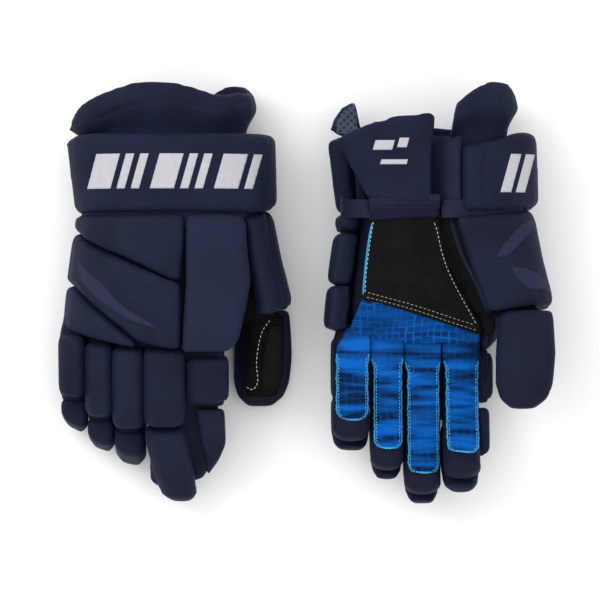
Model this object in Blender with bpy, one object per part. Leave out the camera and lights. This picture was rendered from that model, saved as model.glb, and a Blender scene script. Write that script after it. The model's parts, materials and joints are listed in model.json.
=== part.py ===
"""A pair of ice hockey gloves lying on a flat surface.

The right-hand glove lies palm down at -X, the left-hand glove palm up at +X.
Each glove is drawn once in its own frame, in millimetres:
  u  across the hand, positive to the thumb
  v  along the hand, positive to the cuff
  w  through the hand, positive to its back, zero at the palm side of the cuff
The left glove is the same glove with w turned over, which makes it the mirror image.
"""
import math

import bmesh
import bpy

MM = 0.001

# ---- driving sizes of one glove, in millimetres -------------------------------------
KNUCKLE_V = 128.0        # knuckle line, measured from the longest fingertip
HAND_LENGTH = 116.0      # knuckle line to the seam where the cuff starts
CUFF_LENGTH = 68.0       # height of the cuff roll
INSERT_RISE = 42.0       # how far the inner cuff flap stands above the cuff roll
HALF_WIDTH = 80.0        # half width of the glove at the wrist
BACK_TOP = 92.0          # palm side of the cuff to the flat top of the back rolls
ROLL = 18.0              # thickness of the foam rolls on the back
CUFF_ROLL = 18.0         # thickness of the cuff roll
INSERT = 10.0            # thickness of the inner cuff flap
FLAP = 12.0              # thickness of the palm-side cuff flap
LINER_WALL = 3.0         # fabric and foam wall of the hand and finger tubes
PALM_SKIN = 3.0          # thickness of the palm leathers
FINGER_HALF = 12.5       # half height of a finger tube
THUMB_LENGTH = 82.0      # hinge of the thumb to its tip
THUMB_PAD = 19.0         # thickness of the thumb's foam
THUMB_FLOOR = 3.0        # underside of the thumb's foam above the palm side of the cuff
TUBE_HALF = 15.5         # largest half width of a finger tube
GAP = 0.5                # clearance between neighbours that touch
SEAM = 1.5               # open groove between two back rolls
GLOVE_SPACING = HALF_WIDTH * 2.75     # cuff middle to cuff middle

# ---- sizes that follow from them ----------------------------------------------------
WRIST_V = KNUCKLE_V + HAND_LENGTH
ACROSS = HALF_WIDTH / 80.0            # the widths below are for a half width of 80
THROUGH = BACK_TOP / 92.0             # and the heights for a back at 92
SECTION_MID = 38.0 * THROUGH
BACK_RISE = BACK_TOP - SECTION_MID + 2.0
PALM_RISE = SECTION_MID + 4.0
ROUNDNESS = 2.3          # 2 is an ellipse, higher is squarer
FINGER_AXIS_W = BACK_TOP - ROLL - GAP - FINGER_HALF - 1.0
ROLL_GAP = 0.8           # half the groove between a roll and the next across a knuckle
MAX_BEND = math.radians(60)
FOLD = FINGER_HALF * 2 * math.tan(MAX_BEND / 2) * 0.72    # slant of a finger tube's end
ROLL_FLOOR = FINGER_HALF + GAP        # underside of a finger roll above its tube's axis
FINGER_ROLL = ROLL + 0.5              # thickness of the finger rolls

# shape of the rolls
EDGE_SHARE = 0.08        # share of a back roll's height taken by each rounded edge
END_SHARE = 0.04         # share of its width taken by each rounded end
BEVEL_SHARE = 0.24       # share of a finger roll's width taken by each bevelled shoulder
SHOULDER_SHARE = 0.32    # share of its thickness taken by the bevel
END_ROUND = 4.0          # length over which the ends of a finger roll are rounded
END_SQUEEZE = 2.0        # how much smaller those ends are
CORNER = 0.45            # share of a tube's half width taken by its bevelled corner

# linear colour and roughness of each fabric
FABRICS = {
    "navy_twill": ((0.024, 0.028, 0.078), 0.72),
    "navy_mesh": ((0.030, 0.035, 0.094), 0.78),
    "navy_finger_fabric": ((0.020, 0.024, 0.060), 0.80),
    "lining": ((0.075, 0.090, 0.120), 0.85),
    "black_palm_leather": ((0.006, 0.006, 0.007), 0.60),
    "blue_grip_leather": ((0.004, 0.160, 0.620), 0.50),
    "black_gusset": ((0.006, 0.006, 0.007), 0.70),
}

# column of each finger: left and right edge (u), knuckle offset (v), drop below the index
# finger (w), base and tip length, resting bend of base and tip, slope of the roll's top
FINGERS = {
    "right": {
        "little": dict(u0=-93.0, u1=-71.0, step=12.0, drop=14.0, base=44.0, tip=36.0,
                       base_bend=12, tip_bend=66, slope=0.42),
        "ring": dict(u0=-70.2, u1=-48.0, step=5.5, drop=8.5, base=54.0, tip=42.0,
                     base_bend=12, tip_bend=66, slope=0.30),
        "middle": dict(u0=-47.2, u1=-21.5, step=1.5, drop=3.5, base=60.0, tip=46.0,
                       base_bend=12, tip_bend=62, slope=0.16),
        "index": dict(u0=-20.7, u1=13.0, step=0.0, drop=0.0, base=57.0, tip=72.0,
                      base_bend=11, tip_bend=22, slope=0.04),
    },
    "left": {
        "little": dict(u0=-84.0, u1=-52.0, step=7.0, drop=14.0, base=45.0, tip=42.0,
                       base_bend=5, tip_bend=9, slope=0.34),
        "ring": dict(u0=-51.2, u1=-23.5, step=3.0, drop=8.5, base=52.0, tip=56.0,
                     base_bend=5, tip_bend=9, slope=0.20),
        "middle": dict(u0=-22.7, u1=8.0, step=0.2, drop=3.5, base=60.0, tip=66.0,
                       base_bend=5, tip_bend=9, slope=0.08),
        "index": dict(u0=8.8, u1=41.0, step=0.0, drop=0.0, base=57.0, tip=60.0,
                      base_bend=8, tip_bend=24, slope=0.0),
    },
}
# side roll beside the index finger: edges, drop of its top and length along the base
INDEX_SIDE = {
    "right": dict(u0=14.2, u1=50.0, drop=7.0, slope=-0.30, length=40.0, depth=21.0),
    "left": dict(u0=41.8, u1=53.3, drop=5.0, slope=-0.55, length=40.0, depth=30.0),
}
GLOVES = {
    "right": dict(x=-GLOVE_SPACING / 2, flip=1),
    "left": dict(x=GLOVE_SPACING / 2, flip=-1),
}


def clear_scene():
    for obj in list(bpy.data.objects):
        bpy.data.objects.remove(obj, do_unlink=True)


def material(name):
    found = bpy.data.materials.get(name)
    if found:
        return found
    colour, roughness = FABRICS[name]
    made = bpy.data.materials.new(name)
    made.use_nodes = True
    shader = made.node_tree.nodes["Principled BSDF"]
    shader.inputs["Base Color"].default_value = (*colour, 1)
    shader.inputs["Roughness"].default_value = roughness
    shader.inputs["Metallic"].default_value = 0.0
    return made


def lerp(a, b, t):
    return a + (b - a) * t


def along(points, t):
    """Value at t of a polyline of (place, value) pairs, flat beyond its ends."""
    if t <= points[0][0]:
        return points[0][1]
    for (t0, a), (t1, b) in zip(points, points[1:]):
        if t <= t1:
            return lerp(a, b, (t - t0) / (t1 - t0))
    return points[-1][1]


# ---- the outer surface of the glove around the hand ---------------------------------
def little_half(v):
    t = (v - WRIST_V) / HAND_LENGTH
    return HALF_WIDTH * along([(-1.0, 1.14), (-0.8, 1.14), (-0.45, 1.09), (-0.1, 1.02),
                               (0.0, 1.0), (0.55, 1.1), (1.0, 1.14)], t)


def thumb_half(v):
    t = (v - WRIST_V) / HAND_LENGTH
    return HALF_WIDTH * along([(-1.0, 1.28), (-0.7, 1.32), (-0.4, 1.2), (0.0, 1.09),
                               (0.6, 1.06), (1.0, 1.0)], t)


def section(turn, v, depth, right=None):
    """Point (u, w) at an angle in degrees, 0 at the back and 90 at the thumb side,
    depth millimetres inside the outer surface."""
    a = math.radians(turn)
    half_u = (right or thumb_half(v)) if math.sin(a) > 0 else little_half(v)
    half_w = BACK_RISE if math.cos(a) > 0 else PALM_RISE

    def outer(angle):
        s, c = math.sin(angle), math.cos(angle)
        return (half_u * math.copysign(abs(s) ** (2 / ROUNDNESS), s),
                SECTION_MID + half_w * math.copysign(abs(c) ** (2 / ROUNDNESS), c))

    step = 0.02
    p, q, r = outer(a - step), outer(a), outer(a + step)
    du, dw = r[0] - p[0], r[1] - p[1]
    size = math.hypot(du, dw)
    u = q[0] + dw / size * depth
    w = q[1] - du / size * depth
    return u, min(max(w, 0.0), BACK_TOP)


# ---- meshes -------------------------------------------------------------------------
def widened(column):
    """A finger column with its two edges in proportion to the width of the glove."""
    return dict(column, u0=column["u0"] * ACROSS, u1=column["u1"] * ACROSS)


class Glove:
    def __init__(self, side):
        self.side = side
        self.x = GLOVES[side]["x"]
        self.flip = GLOVES[side]["flip"]
        self.fingers = {name: widened(column) for name, column in FINGERS[side].items()}
        self.index_side = widened(INDEX_SIDE[side])

    def world(self, p):
        """A glove point in millimetres as a world point in metres."""
        w = p[2] if self.flip > 0 else BACK_TOP - p[2]
        return ((self.x + p[0]) * MM, p[1] * MM, w * MM)

    def add(self, name, verts, faces, mat, pivot=(0.0, 0.0, 0.0)):
        """One object whose origin is at its pivot, a point on its joint's axis."""
        origin = self.world(pivot)
        mesh = bpy.data.meshes.new(f"{self.side}_{name}")
        bm = bmesh.new()
        points = [bm.verts.new([c - o for c, o in zip(self.world(p), origin)]) for p in verts]
        for face in faces:
            bm.faces.new([points[i] for i in face])
        bmesh.ops.recalc_face_normals(bm, faces=bm.faces)
        bmesh.ops.triangulate(bm, faces=[f for f in bm.faces if len(f.verts) > 3],
                              quad_method="BEAUTY", ngon_method="EAR_CLIP")
        bmesh.ops.recalc_face_normals(bm, faces=bm.faces)
        bm.to_mesh(mesh)
        bm.free()
        mesh.shade_smooth()
        mesh.set_sharp_from_angle(angle=math.radians(35))
        mesh.materials.append(mat)
        obj = bpy.data.objects.new(f"{self.side}_{name}", mesh)
        obj.location = origin
        bpy.context.scene.collection.objects.link(obj)
        return obj


def grid_solid(outer, inner):
    """Closed solid between two grids of points of the same size."""
    rows, cols = len(outer), len(outer[0])
    verts = [p for row in outer for p in row] + [p for row in inner for p in row]
    half = rows * cols

    def at(i, j, side):
        return side * half + i * cols + j

    faces = []
    for i in range(rows - 1):
        for j in range(cols - 1):
            faces.append([at(i, j, 0), at(i + 1, j, 0), at(i + 1, j + 1, 0), at(i, j + 1, 0)])
            faces.append([at(i, j, 1), at(i, j + 1, 1), at(i + 1, j + 1, 1), at(i + 1, j, 1)])
    rim = ([(0, j) for j in range(cols)] + [(i, cols - 1) for i in range(1, rows)]
           + [(rows - 1, j) for j in range(cols - 2, -1, -1)]
           + [(i, 0) for i in range(rows - 2, 0, -1)])
    for a, b in zip(rim, rim[1:] + rim[:1]):
        faces.append([at(*a, 0), at(*b, 0), at(*b, 1), at(*a, 1)])
    return verts, faces


def tube_solid(rings_out, rings_in, closed_tip):
    """Tube from matching outer and inner rings; the last pair may be closed as a cup."""
    n = len(rings_out[0])
    verts = [p for ring in rings_out for p in ring] + [p for ring in rings_in for p in ring]
    base = len(rings_out) * n
    faces = []

    def skin(count, start):
        for k in range(count - 1):
            for i in range(n):
                j = (i + 1) % n
                low, high = start + k * n, start + (k + 1) * n
                faces.append([low + i, low + j, high + j, high + i])

    skin(len(rings_out), 0)
    skin(len(rings_in), base)
    for i in range(n):
        j = (i + 1) % n
        faces.append([i, j, base + j, base + i])
    end_out, end_in = (len(rings_out) - 1) * n, base + (len(rings_in) - 1) * n
    if closed_tip:
        faces.append([end_out + i for i in range(n)])
        faces.append([end_in + i for i in range(n)])
    else:
        for i in range(n):
            j = (i + 1) % n
            faces.append([end_out + i, end_out + j, end_in + j, end_in + i])
    return verts, faces


def loft_solid(rings):
    """Closed solid through rings of points, capped at both ends."""
    n = len(rings[0])
    verts = [p for ring in rings for p in ring]
    faces = [[k * n + i, k * n + (i + 1) % n, (k + 1) * n + (i + 1) % n, (k + 1) * n + i]
             for k in range(len(rings) - 1) for i in range(n)]
    faces.append(list(range(n)))
    faces.append([(len(rings) - 1) * n + i for i in range(n)])
    return verts, faces


def spread(count, edge):
    """Parameters from 0 to 1 with one extra step of size edge at each end."""
    inner = [lerp(edge, 1 - edge, k / (count - 1)) for k in range(count)]
    return [0.0] + inner + [1.0]


def roll_patch(glove, name, low, high, thickness, mat, count=6, rows=3, swell=3.5,
               bulge=((0.0, 0.0), (1.0, 0.0)), pivot=(0.0, 0.0, 0.0)):
    """A padded roll on the outer surface between a low edge and a high edge. Each edge is a
    list of (turn in degrees, share of the hand's length above the knuckles). The end of the
    roll at the larger turn may bulge by some degrees along its height."""
    outer, inner = [], []
    for r, s in enumerate(spread(rows, EDGE_SHARE)):
        line_out, line_in = [], []
        for c, t in enumerate(spread(count, END_SHARE)):
            a0 = lerp(low[0][0], low[-1][0], t)
            a1 = lerp(high[0][0], high[-1][0], t)
            turn = lerp(a0, a1, s) + along(bulge, s) * t
            share = lerp(along(low, a0), along(high, a1), s)
            v = KNUCKLE_V + share * HAND_LENGTH
            on_rim = r in (0, rows + 1) or c in (0, count + 1)
            u, w = section(turn, v, swell if on_rim else 0.0)
            line_out.append((u, v, w))
            u, w = section(turn, v, thickness)
            line_in.append((u, v, w))
        outer.append(line_out)
        inner.append(line_in)
    return glove.add(name, *grid_solid(outer, inner), mat, pivot)


# ---- back of the hand ---------------------------------------------------------------
WRAP = -115.0            # how far the rolls wrap round the little-finger side, in degrees
BACK_TOP_SHARE = 1.0 - 2.0 / HAND_LENGTH
SPLIT = [(WRAP, 0.880), (-78.0, 0.875), (-22.7, 0.685), (3.2, 0.517)]
CURVE = [(WRAP, 0.500), (-73.3, 0.495), (-51.3, 0.392), (-29.9, 0.233), (-20.7, 0.138),
         (-12.5, 0.062), (2.8, 0.030)]


def lowered(edge, by):
    return [(turn, share - by / HAND_LENGTH) for turn, share in edge]


def back_rolls(glove):
    navy = material("navy_twill")
    mesh = material("navy_mesh")
    top = BACK_TOP_SHARE
    roll_patch(glove, "upper_back_roll", SPLIT, [(WRAP, top), (5.9, top)], ROLL, navy, 7)
    roll_patch(glove, "middle_back_roll", CURVE, lowered(SPLIT, SEAM), ROLL, navy, 9)
    foot = [(WRAP, 0.175), (-75.5, 0.168), (-38.2, 0.099), (-14.9, 0.042)]
    lower_top = lowered(CURVE[:-1], SEAM)
    lower_top[-1] = (-14.0, 0.062)
    roll_patch(glove, "lower_back_roll", foot, lower_top, ROLL, navy, 7, 2)
    bulge = ((0.0, 0.0), (0.12, 5.0), (0.32, 8.0), (1.0, 0.0))
    roll_patch(glove, "thumb_side_back_roll", [(4.8, 0.014), (27.4, 0.016)],
               [(7.6, top), (45.5, top)], ROLL, mesh, 5, bulge=bulge)
    low = [(47.8, 0.27), (90.0, 0.33), (120.0, 0.35), (155.0, 0.30)]
    high = [(49.0, 0.975), (80.0, 1.02), (100.0, 1.03), (168.0, 0.975)]
    roll_patch(glove, "wrist_side_roll", low, high, ROLL - 1, navy, 9)


# ---- cuff ---------------------------------------------------------------------------
CUFF_HINGE = (0.0, WRIST_V + 1.0, BACK_TOP)
FLAP_HINGE = (-40.0 * ACROSS, WRIST_V + 9.5, 0.0)
CUFF_START = 1.0 + 2.3 / HAND_LENGTH            # foot of the cuff roll, past the wrist seam
FLAP_START = 1.0 + 10.5 / HAND_LENGTH           # foot of the flap, past the wrist seam
FLAP_TOP = 1.0 + (CUFF_LENGTH + 19.0) / HAND_LENGTH
INSERT_TUCK = 12.0                              # foot of the insert above the wrist seam


def cuff(glove):
    navy = material("navy_twill")
    start = CUFF_START
    rise = CUFF_LENGTH / HAND_LENGTH
    low = [(-88.0, start), (60.0, start), (95.0, start + 0.05), (168.0, start + 0.01)]
    high = [(-88.0, start + rise * 0.90), (-55.0, start + rise * 0.98), (60.0, start + rise * 0.98),
            (85.0, start + rise * 0.97), (120.0, start + rise), (168.0, start + rise * 0.80)]
    roll_patch(glove, "cuff_roll", low, high, CUFF_ROLL, navy, 16, 2, pivot=CUFF_HINGE)
    insert(glove)
    flap(glove)


def insert(glove):
    """The inner flap: tucked inside the cuff roll, then flaring out above it."""
    navy = material("navy_twill")
    roll_top = WRIST_V + CUFF_LENGTH + 3.0
    crest = [(-88.0, 0.25), (-62.0, 0.56), (-42.0, 0.75), (-16.0, 0.97), (-4.0, 1.0),
             (10.0, 0.9), (25.0, 0.76), (38.0, 0.72), (50.0, 0.79), (62.0, 0.79),
             (90.0, 0.78), (120.0, 0.95), (142.0, 1.0), (160.0, 0.78), (174.0, 0.36)]
    tucked = CUFF_ROLL + 1.0
    foot = WRIST_V + INSERT_TUCK
    outer, inner = [], []
    for turn in [lerp(-88.0, 174.0, k / 23) for k in range(24)]:
        top_v = roll_top + INSERT_RISE * along(crest, turn)
        flare = along([(-88.0, 1.0), (60.0, 9.0), (120.0, 6.0), (174.0, 3.0)], turn)
        mid = lerp(roll_top, top_v, 0.55)
        line_out, line_in = [], []
        for v, out in ((foot, tucked), (roll_top, tucked), (mid, flare), (top_v, flare + 3.0)):
            u, w = section(turn, v, out)
            line_out.append((u, v, w))
            u, w = section(turn, v, out + INSERT)
            line_in.append((u, v, w))
        outer.append(line_out)
        inner.append(line_in)
    glove.add("cuff_insert", *grid_solid(outer, inner), navy, CUFF_HINGE)


def flap(glove):
    """The palm-side flap of the cuff, hinged at the wrist seam."""
    navy = material("navy_twill")
    low = [(182.0, FLAP_START), (220.0, FLAP_START)]
    high = [(180.5, FLAP_TOP - 0.03), (187.0, FLAP_TOP), (205.0, FLAP_TOP - 0.05),
            (250.0, FLAP_TOP - 0.20)]
    roll_patch(glove, "cuff_flap", low, high, FLAP, navy, 5, 3, swell=2.5, pivot=FLAP_HINGE)


# ---- hand tube and palm -------------------------------------------------------------
def finger_axis(glove, finger):
    f = glove.fingers[finger]
    return KNUCKLE_V + f["step"], FINGER_AXIS_W - f["drop"]


def axis_height(glove, u):
    """Height of the finger axes at a place across the hand."""
    mids = [((f["u0"] + f["u1"]) / 2, f["drop"]) for f in glove.fingers.values()]
    return FINGER_AXIS_W - along(mids, u)


def front_line(glove, u):
    """Front end of the hand tube, clear of every finger's knuckle."""
    shoulders = []
    for f in glove.fingers.values():
        shoulders += [(f["u0"], f["step"]), (f["u1"], f["step"])]
    return along(shoulders, u)


def palm_height(glove, u, v):
    """Upper face of the palm leather: level with the finger tubes at the knuckles."""
    t = min(max((v - KNUCKLE_V) / HAND_LENGTH, 0.0), 1.0)
    at_knuckle = axis_height(glove, u) - FINGER_HALF - PALM_STEP
    return lerp(at_knuckle, PALM_WRIST, t)


LINER_WRIST = 66.0 * ACROSS      # thumb-side half width of the hand tube at the wrist
LINER_KNUCKLE = 52.0 * ACROSS    # and beside the thumb
LINER_SLACK = 4.4                # room between the hand tube and what lies round it
LINER_PALM = (40.0, 22.0, -8.0, -36.0, -55.0)    # places across its flat palm side
LINER_BACK_SETBACK = 2.0         # from the knuckles to its front edge on the back
LINER_PALM_SETBACK = 12.0        # and on the palm side, where the fingers fold
PALM_LEFT = -59.0 * ACROSS       # little-finger edge of the palm leathers
PALM_RIGHT = 42.0 * ACROSS       # and their edge beside the thumb
PALM_STEP = 0.6                  # from the finger tubes to the palm leathers below them
PALM_WRIST = 21.0 * THROUGH      # height of the palm leather at the wrist
PALM_FRONT = 11.25               # front edge of the grip leather behind the knuckles


def hand_liner(glove):
    dark = material("lining")
    stations = (0.0, 0.33, 0.66, 1.0)
    wrist = WRIST_V - 1.0
    rings_out, rings_in = [], []
    for s in stations:
        ring = []
        for turn in [lerp(-92.0, 96.0, k / 14) for k in range(15)]:
            at_v = lerp(KNUCKLE_V + 8.0, wrist, s)
            right = lerp(LINER_KNUCKLE, LINER_WRIST, s)
            u, w = section(turn, at_v, ROLL + LINER_SLACK, right + ROLL)
            step = front_line(glove, u) + LINER_BACK_SETBACK
            v = lerp(KNUCKLE_V + step, wrist, s)
            ring.append([u, v, w])
        for u in [place * ACROSS for place in LINER_PALM]:
            step = front_line(glove, u) + LINER_PALM_SETBACK
            v = lerp(KNUCKLE_V + step, wrist, s)
            ring.append([u, v, palm_height(glove, u, v) + LINER_SLACK])
        rings_out.append(ring)
        rings_in.append(inset(ring, LINER_WALL))
    glove.add("hand_liner", *tube_solid(rings_out, rings_in, False), dark)


def inset(ring, wall):
    """The same ring moved inward by wall, in the plane across the glove."""
    n = len(ring)
    area = sum(ring[i][0] * ring[(i + 1) % n][2] - ring[(i + 1) % n][0] * ring[i][2]
               for i in range(n))
    turn = 1 if area > 0 else -1
    made = []
    for i in range(n):
        before, here, after = ring[i - 1], ring[i], ring[(i + 1) % n]
        normals = []
        for a, b in ((before, here), (here, after)):
            du, dw = b[0] - a[0], b[2] - a[2]
            size = math.hypot(du, dw)
            normals.append((-dw / size * turn, du / size * turn))
        nu, nw = normals[0][0] + normals[1][0], normals[0][1] + normals[1][1]
        size = math.hypot(nu, nw)
        reach = wall / max(0.5, size / 2)
        made.append([here[0] + nu / size * reach, here[1], here[2] + nw / size * reach])
    return made


def palms(glove):
    black = material("black_palm_leather")
    blue = material("blue_grip_leather")
    seam_little, seam_thumb = 0.40, 0.17
    left, right = PALM_LEFT, PALM_RIGHT

    def slab(name, low_edge, high_edge, mat):
        upper, lower = [], []
        for c in range(8):
            t = c / 7
            line_up, line_down = [], []
            for s in (0.0, 0.5, 1.0):
                u = lerp(low_edge(t)[0], high_edge(t)[0], s)
                v = lerp(low_edge(t)[1], high_edge(t)[1], s)
                w = palm_height(glove, u, v)
                line_up.append((u, v, w))
                line_down.append((u, v, w - PALM_SKIN))
            upper.append(line_up)
            lower.append(line_down)
        glove.add(name, *grid_solid(upper, lower), mat)

    def seam_v(t):
        return KNUCKLE_V + lerp(seam_little, seam_thumb, t) * HAND_LENGTH

    def front(t):
        u = lerp(left, right, t)
        return u, KNUCKLE_V + front_line(glove, u) + PALM_FRONT

    slab("heel_palm", lambda t: (lerp(left, right, t), seam_v(t) + GAP),
         lambda t: (lerp(left + 9.0, 5.0 * ACROSS, t), WRIST_V - 2.0), black)
    slab("grip_palm", front, lambda t: (lerp(left, right, t), seam_v(t) - GAP), blue)


# ---- fingers ------------------------------------------------------------------------
TIP_ROUND = 12.0         # length over which a fingertip's tube narrows
TIP_SETBACK = 5.0        # from the end of the tip roll to the end of its tube
TIP_SHARES = (0.0, 0.08, 0.60, 0.86, 1.0)       # rings along a tip roll
TIP_SQUEEZE = (2.0, 0.0, 0.0, 2.0, 6.0)         # and how much smaller each is
TIP_NOSE = 5.0           # how far the last ring of a tip roll drops
INDEX_LEAN = 14.0        # how far the right index tip leans to the thumb side


class Segment:
    """A finger segment: local x across, y back along the finger, z to the back; turned
    down about its hinge by a bend in degrees."""

    def __init__(self, glove, u, v, w, bend):
        self.glove, self.u, self.v, self.w = glove, u, v, w
        self.bend = math.radians(bend)

    def place(self, p):
        x, y, z = p
        c, s = math.cos(self.bend), math.sin(self.bend)
        return (self.u + x, self.v + y * c - z * s, self.w + y * s + z * c)

    def add(self, name, solid, mat):
        verts, faces = solid
        pivot = (self.u, self.v, self.w)
        return self.glove.add(name, [self.place(p) for p in verts], faces, mat, pivot)


def rounded_ring(half_x, half_z, y_low, y_high):
    """Eight-sided ring; y_low and y_high are its places at the bottom and at the top."""
    cx, cz = half_x * (1 - CORNER), half_z * (1 - CORNER)
    flat = [(-half_x, -cz), (-half_x, cz), (-cx, half_z), (cx, half_z),
            (half_x, cz), (half_x, -cz), (cx, -half_z), (-cx, -half_z)]
    return [(x, lerp(y_low, y_high, (z + half_z) / (2 * half_z)), z) for x, z in flat]


def sleeve(segment, name, half_x, length, closed, mat):
    """Finger tube whose open ends slant, so that the palm side has room to fold."""
    hx, hz, wall = half_x, FINGER_HALF, LINER_WALL
    first = (-FOLD, -1.0)
    last = (-length + FOLD, -length + 1.0)
    if closed:
        bend = -length + TIP_ROUND
        outs = [rounded_ring(hx, hz, *first), rounded_ring(hx, hz, bend, bend),
                rounded_ring(hx - 3, hz - 4, -length, -length)]
        ins = [rounded_ring(hx - wall, hz - wall, *first),
               rounded_ring(hx - wall, hz - wall, bend + 1, bend + 1),
               rounded_ring(hx - wall - 3, hz - wall - 4, -length + wall, -length + wall)]
    else:
        outs = [rounded_ring(hx, hz, *first), rounded_ring(hx, hz, *last)]
        ins = [rounded_ring(hx - wall, hz - wall, *first),
               rounded_ring(hx - wall, hz - wall, *last)]
    return segment.add(name, tube_solid(outs, ins, closed), mat)


def roll_ring(x0, x1, y, z0, height, slope, squeeze=0.0):
    """Cross-section of a finger roll: flat top with two bevelled shoulders."""
    x0, x1 = x0 + squeeze, x1 - squeeze
    top = z0 + height - squeeze
    mid = (x0 + x1) / 2
    bevel = (x1 - x0) * BEVEL_SHARE
    shoulder = top - height * SHOULDER_SHARE
    points = [(x0, z0), (x0, shoulder), (x0 + bevel, top), (x1 - bevel, top),
              (x1, shoulder), (x1, z0)]
    return [(x, y, z + (x - mid) * slope * (z - z0) / height) for x, z in points]


def finger_roll(segment, name, x0, x1, length, floor, height, slope, mat):
    """A roll over a finger segment, rounded at both ends, with its hinge at y = 0."""
    rings = [roll_ring(x0, x1, -ROLL_GAP, floor, height, slope, END_SQUEEZE),
             roll_ring(x0, x1, -ROLL_GAP - END_ROUND, floor, height, slope),
             roll_ring(x0, x1, -length + ROLL_GAP + END_ROUND, floor, height, slope),
             roll_ring(x0, x1, -length + ROLL_GAP, floor, height, slope, END_SQUEEZE)]
    segment.add(name, loft_solid(rings), mat)


def finger(glove, name):
    f = glove.fingers[name]
    navy = material("navy_twill")
    fabric = material("navy_finger_fabric")
    u = (f["u0"] + f["u1"]) / 2
    half = (f["u1"] - f["u0"]) / 2
    tube = min(half, TUBE_HALF)
    tube_u = u + half - tube
    v, w = finger_axis(glove, name)
    base = Segment(glove, u, v, w, f["base_bend"])
    base_tube = Segment(glove, tube_u, v, w, f["base_bend"])
    sleeve(base_tube, f"{name}_base_sleeve", tube, f["base"], False, fabric)
    finger_roll(base, f"{name}_base_roll", -half, half, f["base"], ROLL_FLOOR, FINGER_ROLL,
                f["slope"], navy)
    if name == "index":
        index_side(glove, base, u, navy)

    _, tip_v, tip_w = base.place((0.0, -f["base"], 0.0))
    bend = f["base_bend"] + f["tip_bend"]
    tip = Segment(glove, u, tip_v, tip_w, bend)
    tip_tube = Segment(glove, tube_u, tip_v, tip_w, bend)
    sleeve(tip_tube, f"{name}_tip_sleeve", tube, f["tip"] - TIP_SETBACK, True, fabric)
    tip_roll(tip, name, half, f, navy)


def tip_roll(tip, name, half, f, navy):
    """The last roll of a finger: its end slopes down and narrows over the fingertip."""
    lean = INDEX_LEAN if (tip.glove.side, name) == ("right", "index") else 0.0
    rings = []
    for share, squeeze in zip(TIP_SHARES, TIP_SQUEEZE):
        y = -lerp(ROLL_GAP, f["tip"], share)
        ring = roll_ring(-half, half, y, ROLL_FLOOR, FINGER_ROLL, f["slope"], squeeze)
        sink = TIP_NOSE if share == 1.0 else 0.0
        rings.append([(x + lean * max(0.0, share - 0.1), yy, z - sink) for x, yy, z in ring])
    tip.add(f"{name}_tip_roll", loft_solid(rings), navy)


def index_side(glove, base, index_u, navy):
    """The roll beside the index finger, which bends with its base."""
    side = glove.index_side
    floor = ROLL_FLOOR + ROLL - side["drop"] - side["depth"]
    finger_roll(base, "index_side_roll", side["u0"] - index_u, side["u1"] - index_u,
                side["length"], floor, side["depth"], side["slope"], navy)


# ---- thumb --------------------------------------------------------------------------
THUMB_U = 77.0 * ACROSS           # middle of the thumb at its base
THUMB_OUTER = 26.0 * ACROSS       # from there to the hinge at the thumb's outer seam
THUMB_LEAN = 3.0                  # how far the tip leans towards the fingers
THUMB_START = 0.30                # hinge, as a share of the hand above the knuckles
# share of the thumb's length, and how far its foam reaches to either side
THUMB_OUTLINE = [(0.02, -16.0, 24.0), (0.10, -20.0, 25.0), (0.45, -20.5, 27.5),
                 (0.75, -20.0, 26.5), (0.90, -16.0, 22.0), (1.0, -7.0, 12.0)]
THUMB_BEVEL = 6.0                 # bevel round the palm side of the foam
THUMB_END = 4.0                   # how much thinner the foam is at its two ends
THUMB_TUBE_U = 18.0 * ACROSS      # half width of the thumb's tube
THUMB_TUBE_W = 13.0               # and half height
THUMB_TUBE_START = 0.04           # where the tube starts, as a share of the thumb's length
THUMB_TUBE_BEND = 0.70            # where it starts to narrow
THUMB_TUBE_END = 0.90             # and where it ends
THUMB_NARROW = 5.0                # how much narrower it ends


def thumb(glove):
    navy = material("navy_twill")
    black = material("black_gusset")
    hinge_v = KNUCKLE_V + THUMB_START * HAND_LENGTH
    pivot = (THUMB_U + THUMB_OUTER, hinge_v, THUMB_PAD)
    rings = []
    for share, left, right in THUMB_OUTLINE:
        v = hinge_v - share * THUMB_LENGTH
        u = THUMB_U - THUMB_LEAN * share
        u0, u1 = u + left * ACROSS, u + right * ACROSS
        thinner = THUMB_END if share in (THUMB_OUTLINE[0][0], 1.0) else 0.0
        low, high = THUMB_FLOOR + thinner, THUMB_FLOOR + THUMB_PAD - thinner / 2
        rings.append([(u0, v, low + THUMB_BEVEL), (u0, v, high), (u1, v, high),
                      (u1, v, low + THUMB_BEVEL), (u1 - THUMB_BEVEL, v, low),
                      (u0 + THUMB_BEVEL, v, low)])
    glove.add("thumb_roll", *loft_solid(rings), navy, pivot)

    inner_end = THUMB_TUBE_END - LINER_WALL / THUMB_LENGTH
    outs = [thumb_ring(hinge_v, THUMB_TUBE_START, 0.0, 0.0),
            thumb_ring(hinge_v, THUMB_TUBE_BEND, 0.0, 0.0),
            thumb_ring(hinge_v, THUMB_TUBE_END, THUMB_NARROW, 0.0)]
    ins = [thumb_ring(hinge_v, THUMB_TUBE_START, 0.0, LINER_WALL),
           thumb_ring(hinge_v, THUMB_TUBE_BEND - 0.01, 0.0, LINER_WALL),
           thumb_ring(hinge_v, inner_end, THUMB_NARROW, LINER_WALL)]
    glove.add("thumb_sleeve", *tube_solid(outs, ins, True), black, pivot)


def thumb_ring(hinge_v, share, narrower, wall):
    """Ring of the thumb's tube at a share of its length, inset by the wall."""
    v = hinge_v - share * THUMB_LENGTH
    u = THUMB_U + THUMB_LEAN * (1.0 - share)
    w = THUMB_FLOOR + THUMB_PAD + GAP + THUMB_TUBE_W
    ring = rounded_ring(THUMB_TUBE_U - narrower - wall, THUMB_TUBE_W - 0.6 * narrower - wall, v, v)
    return [(u + x, y, w + z) for x, y, z in ring]


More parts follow.
